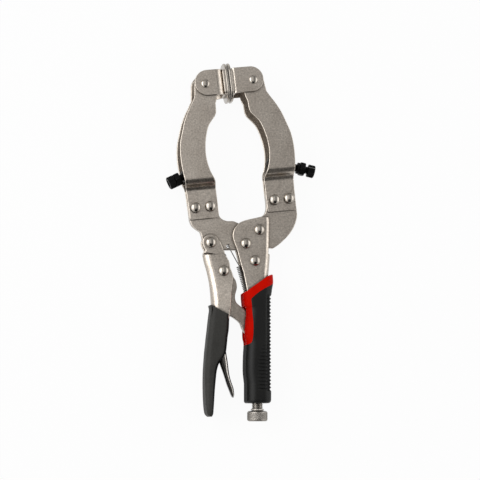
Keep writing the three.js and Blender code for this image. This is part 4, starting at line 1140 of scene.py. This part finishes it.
# Across from the screw's axis and down from the grip's head, as shares
grip_top_shares = [
    (-1.9, 0.2), (-1.35, 0.165), (-0.94, 0.137), (-0.64, 0.113), (-0.26, 0.085), (0.12, 0.057),
    (0.5, 0.029), (0.73, 0.013), (0.95, 0.005), (1.08, 0.006), (1.6, 0.03),
]
accent_shares = [
    (1.6, 0.055), (1.04, 0.079), (0.96, 0.082), (0.65, 0.1), (0.27, 0.121), (-0.1, 0.146),
    (-0.41, 0.172), (-0.63, 0.194), (-0.67, 0.206),
]
# And down from the last of those to the tongue's end
accent_side_shares = [
    (-0.62, 0.153), (-0.57, 0.328), (-0.52, 0.503), (-0.52, 0.678), (-0.55, 0.808), (-0.62, 0.915),
    (-0.79, 0.96), (-1.06, 0.983), (-1.7, 1),
]
fixed_cheek = outlines("fixed_handle_shell")[0]
grip_axis = screw_start.x
grip_box = node_box("fixed_grip")
grip_half = (grip_box[1].z - grip_box[0].z) / 2
grip_low = grip_box[0].y
grip_head = pivot.y - grip_top
grip_length = grip_head - grip_low
cheek_end = min(p.y for p in fixed_cheek) + cheek_margin
grip_half_width = grip_axis - outline_edge(fixed_cheek, cheek_end, -1) + grip_front
grip_edge = outline_edge(fixed_cheek, cheek_end, 1) + grip_back - grip_axis


def on_grip(share):
    return Vector((grip_axis + share[0] * grip_half_width, grip_head - share[1] * grip_length))


rib_start = on_grip(accent_shares[1]).y - rib_below
rib_number = math.floor((rib_start - grip_low - rib_end) / rib_pitch)
rib_stop = rib_start - rib_number * rib_pitch


def rib_cut(x, y):
    """How deep the ribs cut into the grip at a place."""
    if y > rib_start or y < rib_stop:
        return 0.0
    inward = grip_axis + grip_edge - x
    phase = (rib_start - y) / rib_pitch
    teeth = wave(phase) * rib_depth * (1 - eased(inward, *tooth_fade))
    lower = eased(rib_start - y, *lower_half)
    end, past = (place + growth * lower for place, growth in zip(bar_end, bar_growth))
    reach = eased(inward, *bar_start) * (1 - eased(inward, end, past))
    share = upper_share + (1 - upper_share) * lower
    bars = clamped(wave(phase) * bar_slope - bar_root) * bar_depth * reach * share
    band = eased(inward, *band_start) * (1 - eased(inward, *band_end))
    return max(teeth, bars) + grooves(phase * 2, inward / cross_width, cross_slope) * cross_depth * band


def fixed_grip_body():
    rings = []
    for y in steps_between(grip_low, on_grip((0, fixed_grip_rows[0][0])).y, grip_pitch):
        down = (grip_head - y) / grip_length
        left, right, half = smooth_table(fixed_grip_rows, down)
        left = max(left - grip_left_trim * eased(down, *left_trim_run), min(left, grip_least))
        right -= grip_trim * eased(down, *trim_run)
        rings.append(section(grip_axis - left * grip_half_width, grip_axis + right * grip_edge,
                             grip_half * half, grip_corner, grip_count, y, rib_cut))
    return lofted(rings)


def channel_room(cheek, spare):
    """The space that a channel takes inside its grip."""
    widths = cheek_widths(cheek)[0]
    low = min(p.y for p in cheek) - spare
    rings = []
    for y in steps_between(low, grip_head, room_pitch):
        level = max(y, low + spare + level_slack)
        left = outline_edge(cheek, level, -1) - spare
        right = outline_edge(cheek, level, 1) + spare
        half = widths(level) + spare
        rings.append([Vector((x, y, clamp_middle.z + z)) for x, z in
                      ((left, -half), (right, -half), (right, half), (left, half))])
    return lofted(rings)


def above(line):
    """Everything above an open line in X and Y, through the whole thickness."""
    return prism(line + [Vector((line[-1].x, far)), Vector((line[0].x, far))], -far, far * 2)


def moved_left(line, distance):
    """An open line moved to its own left, which is down for the accent's edge."""
    moved = []
    for i, point in enumerate(line):
        way = (line[min(i + 1, len(line) - 1)] - line[max(i - 1, 0)]).normalized()
        moved.append(point + Vector((-way.y, way.x)) * distance)
    return moved


def fixed_grip():
    left = grip_axis - far
    link_slot = brick(left, pivot.x + slot_in, pivot.y - slot_end, pivot.y - slot_down, link_slot_half)
    mouth = brick(left, pivot.x + spring_mouth_in, pivot.y - spring_mouth_down, grip_head,
                  spring_mouth_half)
    bore = turned([(screw_bore, -far), (screw_bore, far)], bore_sides,
                  along(axis_y, Vector((grip_axis, grip_low, clamp_middle.z))))
    sky = above(curve_through([on_grip(share) for share in grip_top_shares]))
    room = channel_room(fixed_cheek, fixed_clearance)
    body = carved(fixed_grip_body(), [sky, room, link_slot, mouth, bore])
    edge = [on_grip(share) for share in accent_shares]
    start = edge[-1].y
    end = pivot.y - slot_end - accent_past_slot
    edge += [Vector((grip_axis + across * grip_half_width, start + (end - start) * down))
             for across, down in accent_side_shares]
    edge = curve_through(edge)
    accent = carved(body.copy(), [above(edge)], "INTERSECT")
    stand_in("grip_accent", accent, grip_crease)
    stand_in("fixed_grip", carved(body, [above(moved_left(edge, seam))]), grip_crease)


fixed_grip()

# Moving grip, from shares of its reach left of the main pivot and of its length
moving_reach = 34.0
moving_grip_top = 48.5   # main pivot down to its upper end
moving_grip_length = 86.0
moving_grip_corner = 4.6
moving_grip_crease = 40
moving_trim = 0.6        # slimmer on each side
moving_grip_step = 0.01
moving_grip_count = 96
round_share = 0.47       # of a narrow section's width that its corner takes at most
shell_hides = 0.12       # down the grip, from where the shell's free edge stays inside it
shell_inside = 1.0
moving_grip_rows = [
    (0, -0.85, -0.28, 0.93), (0.04, -0.83, -0.325, 0.98), (0.09, -0.845, -0.365, 1),
    (0.14, -0.86, -0.372, 1), (0.22, -0.882, -0.382, 1), (0.29, -0.903, -0.408, 1),
    (0.37, -0.924, -0.428, 1), (0.43, -0.94, -0.452, 1), (0.47, -0.947, -0.505, 1),
    (0.51, -0.955, -0.583, 1), (0.55, -0.962, -0.628, 1), (0.6, -0.967, -0.66, 1),
    (0.69, -0.969, -0.686, 1), (0.77, -0.965, -0.705, 1), (0.86, -0.955, -0.72, 1),
    (0.94, -0.935, -0.735, 0.98), (0.98, -0.91, -0.745, 0.9), (1, -0.86, -0.77, 0.75),
]
moving_top_shares = [
    (-1.1, -0.005), (-0.87, 0), (-0.78, 0.005), (-0.755, 0.015), (-0.674, 0.033), (-0.56, 0.059),
    (-0.47, 0.075), (-0.385, 0.087), (-0.2, 0.1),
]
lever_slot_half = 3.3
lever_slot_left = 8.0    # of the lever's pin
lever_slot_down = 43.0   # below it


def on_moving_grip(across, down):
    return Vector((pivot.x + across * moving_reach, pivot.y - moving_grip_top - down * moving_grip_length))


def moving_grip():
    low, high = node_box("moving_grip")
    half = (high.z - low.z) / 2
    rings = []
    for down in steps_between(0.0, 1.0, moving_grip_step):
        left, right, thick = smooth_table(moving_grip_rows, down)
        left = pivot.x + left * moving_reach + moving_trim
        right = pivot.x + right * moving_reach - moving_trim
        corner = min(moving_grip_corner, (right - left) * round_share)
        y = on_moving_grip(0, down).y
        rings.append(section(left, right, half * thick, corner, moving_grip_count, y))
    pin = Vector(joint_of("release_lever_pivot")["pos_m"]) / MM
    slot = brick(pin.x - lever_slot_left, pivot.x, pin.y - lever_slot_down, pivot.y, lever_slot_half)
    line = curve_through([on_moving_grip(*share) for share in moving_top_shares])
    room = channel_room(outlines("moving_handle_shell")[0], moving_clearance)
    stand_in("moving_grip", carved(lofted(rings), [above(line), room, slot]), moving_grip_crease)


def inside_grip(y):
    """How far right the moving shell's free edge may reach at a height, to stay inside its grip."""
    down = (pivot.y - moving_grip_top - y) / moving_grip_length
    if down < shell_hides:
        return far
    right = smooth_table(moving_grip_rows, min(down, 1.0))[1]
    return pivot.x + right * moving_reach - moving_trim - shell_inside


moving_grip()
channel("moving_handle_shell", -1, moving_bend, moving_spine_top, reach=inside_grip, splay=moving_splay)

# Release lever: a bar with round edges along its node's outline
lever_round = 2.4
lever_round_share = 0.48
lever_count = 48         # points round a section
lever_pitch = 0.4
lever_margin = 0.05
lever_crease = 60


def release_lever():
    node = "release_lever"
    low, high = node_box(node)
    outline = smoothed(outlines(node)[0])
    rings = []
    for y in steps_between(low.y + lever_margin, high.y - lever_margin, lever_pitch):
        left, right = outline_edge(outline, y, -1), outline_edge(outline, y, 1)
        corner = min(lever_round, (right - left) * lever_round_share)
        rings.append(section(left, right, (high.z - low.z) / 2, corner, lever_count, y))
    stand_in(node, lofted(rings), lever_crease, "lever_steel")


release_lever()

# Tension spring: hook through the jaw, coil, eye round the anchor pin
spring_wire = 0.75
spring_coil = 4.4        # its outer width
spring_curls = 15
curl_steps = 20
wire_sides = 10
jaw_half = 3.0
hook_hole = pivot + Vector((-13.8, -2.4, 0))
coil_top = pivot + Vector((-4.9, -17.2, 0))
coil_end = pivot + Vector((1.0, -37.2, 0))
anchor = pivot + Vector((4.2, -43.0, 0))
anchor_radius = 1.5
eye_clearance = 0.3
eye_start = 100          # degrees
eye_sweep = 250
eye_steps = 16
lead_runs = (4.0, 8.0, 13.0)  # along the straight wire between hook and coil
lead_steps = 6


def spring_route():
    along_coil = (coil_end - coil_top).normalized()
    across = axis_z.cross(along_coil)
    radius = (spring_coil - spring_wire) / 2
    count = spring_curls * curl_steps
    coil = []
    for i in range(count + 1):
        turn = 2 * math.pi * i / curl_steps
        coil.append(coil_top.lerp(coil_end, i / count) + across * radius * math.sin(turn)
                    + axis_z * radius * math.cos(turn))
    out = jaw_half + spring_wire
    lead = (coil_top - hook_hole).normalized()
    rises = [(0, -out), (0, out - spring_wire), (spring_wire, out + spring_wire / 4)]
    rises += zip(lead_runs, (out, (out + radius) / 2, radius + spring_wire / 3))
    hook = [hook_hole + lead * run + axis_z * rise for run, rise in rises]
    eye_radius = anchor_radius + eye_clearance + spring_wire / 2
    eye = []
    for i in range(eye_steps + 1):
        turn = math.radians(eye_start - eye_sweep * i / eye_steps)
        eye.append(anchor + on_circle(turn, eye_radius).to_3d())
    lead_in = curve_through(hook + coil[:1], lead_steps)[:-1]
    lead_out = curve_through([coil[-2], coil[-1]] + eye[:2], lead_steps)
    return lead_in + coil + lead_out[lead_steps + 1:-lead_steps - 1] + eye


def wire(points, radius):
    """A round wire along a route."""
    rings = []
    side = axis_x
    for i, point in enumerate(points):
        way = (points[min(i + 1, len(points) - 1)] - points[max(i - 1, 0)]).normalized()
        side = (side - way * side.dot(way)).normalized()
        other = way.cross(side)
        turns = [2 * math.pi * k / wire_sides for k in range(wire_sides)]
        rings.append([point + (side * math.cos(turn) + other * math.sin(turn)) * radius for turn in turns])
    return lofted(rings)


spring = new_object("tension_spring_form", wire(spring_route(), spring_wire / 2), "plain_steel", None,
                    ("tension_spring",), finish="spring_steel")
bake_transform(spring)

# Studio: a pale floor, white all round, two soft boxes, and cards that only reflections show
floor_size = 6.0
floor_paint = 0.86
floor_glow = 0.94        # how far the camera sees it as plain white
world_level = 0.55
lamp_distance = 1.5
card_distance = 1.6


def flat_sheet(name, width, height, material):
    mesh = bmesh.new()
    bmesh.ops.create_grid(mesh, x_segments=1, y_segments=1, size=0.5)
    bmesh.ops.scale(mesh, vec=(width, height, 1), verts=mesh.verts)
    data = as_data(name, mesh)
    data.materials.append(material)
    return placed(name, data)


def seen_share(tree):
    """1 where something is seen, straight, in a reflection or through glass, and 0 where it lights."""
    rays = add_node(tree, "LightPath")
    seen = rays.outputs["Is Camera Ray"]
    for kind in ("Is Glossy Ray", "Is Transmission Ray"):
        seen = calculated(tree, "MAXIMUM", seen, rays.outputs[kind])
    return seen


def floor_material():
    """Pale floor that the camera and reflections see as white, with the object's soft shadow."""
    material = new_material("floor")
    tree = material.node_tree
    share = calculated(tree, "MULTIPLY", seen_share(tree), floor_glow)
    paint = add_node(tree, "BsdfDiffuse", Color=(floor_paint, floor_paint, floor_paint, 1)).outputs[0]
    white = add_node(tree, "Emission", Color=(1, 1, 1, 1), Strength=1.0).outputs[0]
    mixed = add_node(tree, "MixShader", _0=share, _1=paint, _2=white).outputs[0]
    add_node(tree, "OutputMaterial", Surface=mixed)
    return material


def studio_world():
    """White for the camera and in reflections, and a plain level of light on the object."""
    world = bpy.data.worlds.new("studio")
    world.use_nodes = True
    tree = world.node_tree
    tree.nodes.clear()
    level = remap(tree, seen_share(tree), 0.0, 1.0, world_level, 1.0)
    background = add_node(tree, "Background", Color=(1, 1, 1, 1), Strength=level)
    add_node(tree, "OutputWorld", Surface=background.outputs[0])
    bpy.context.scene.world = world


def facing_clamp(thing, way, distance, target=Vector((0, 0, 0))):
    """Moves a lamp, card or camera in a direction from the clamp, turned towards it and upright."""
    back = Vector(way).normalized()
    right = axis_y.cross(back).normalized()
    turn = Matrix((right, back.cross(right), back)).transposed().to_4x4()
    thing.matrix_world = Matrix.Translation(target + back * distance) @ turn


def soft_box(name, way, radiance, width, height):
    data = bpy.data.lights.new(name, "AREA")
    data.shape = "RECTANGLE"
    data.size = width
    data.size_y = height
    data.energy = radiance * math.pi * width * height
    facing_clamp(placed(name, data), way, lamp_distance)


def card(name, way, level, width, height):
    """A card that only reflections show. A level of (place, level, place, level) changes across it."""
    material = new_material(name)
    tree = material.node_tree
    if isinstance(level, tuple):
        place = add_node(tree, "TexCoord").outputs["Object"]
        across = add_node(tree, "SeparateXYZ", _0=place).outputs[0]
        level = remap(tree, across, level[0], level[2], level[1], level[3])
    glow = add_node(tree, "Emission", Color=(1, 1, 1, 1), Strength=level)
    add_node(tree, "OutputMaterial", Surface=glow.outputs[0])
    piece = flat_sheet(name, width, height, material)
    facing_clamp(piece, way, card_distance)
    piece.visible_camera = False
    piece.visible_diffuse = False
    piece.visible_transmission = False
    piece.visible_shadow = False


def tilted(across, upwards):
    """A direction this many degrees from straight up, towards +X and towards +Y."""
    return (math.tan(math.radians(across)), math.tan(math.radians(upwards)), 1.0)


floor = flat_sheet("floor", floor_size, floor_size, floor_material())
studio_world()
soft_box("key", (-1.15, 0.30, 0.95), 2.5, 0.9, 1.4)
soft_box("fill", (1.30, 0.20, 0.75), 1.4, 0.8, 1.3)
card("front_card", tilted(10, 20), (-0.30, 1.0, 0.25, 0.24), 1.3, 1.9)
card("lower_card", tilted(10, -38.5), 0.0, 1.5, 1.63)
card("foot_card", tilted(10, -74), 0.08, 1.8, 0.5)
card("upper_card", tilted(10, 67), 0.45, 2.2, 1.0)
card("left_card", tilted(-60, 0), 2.1, 1.8, 2.2)
card("right_card", tilted(61, 0), 1.05, 1.6, 2.2)

# Camera at the photograph's place
camera_data = bpy.data.cameras.new("camera")
camera_data.sensor_width = sensor_width
camera_data.lens = camera_focus / picture_size * sensor_width
camera = placed("camera", camera_data)
facing_clamp(camera, camera_way, camera_distance * MM, camera_target * MM)
bpy.context.scene.camera = camera
bpy.context.scene.view_settings.view_transform = "Standard"
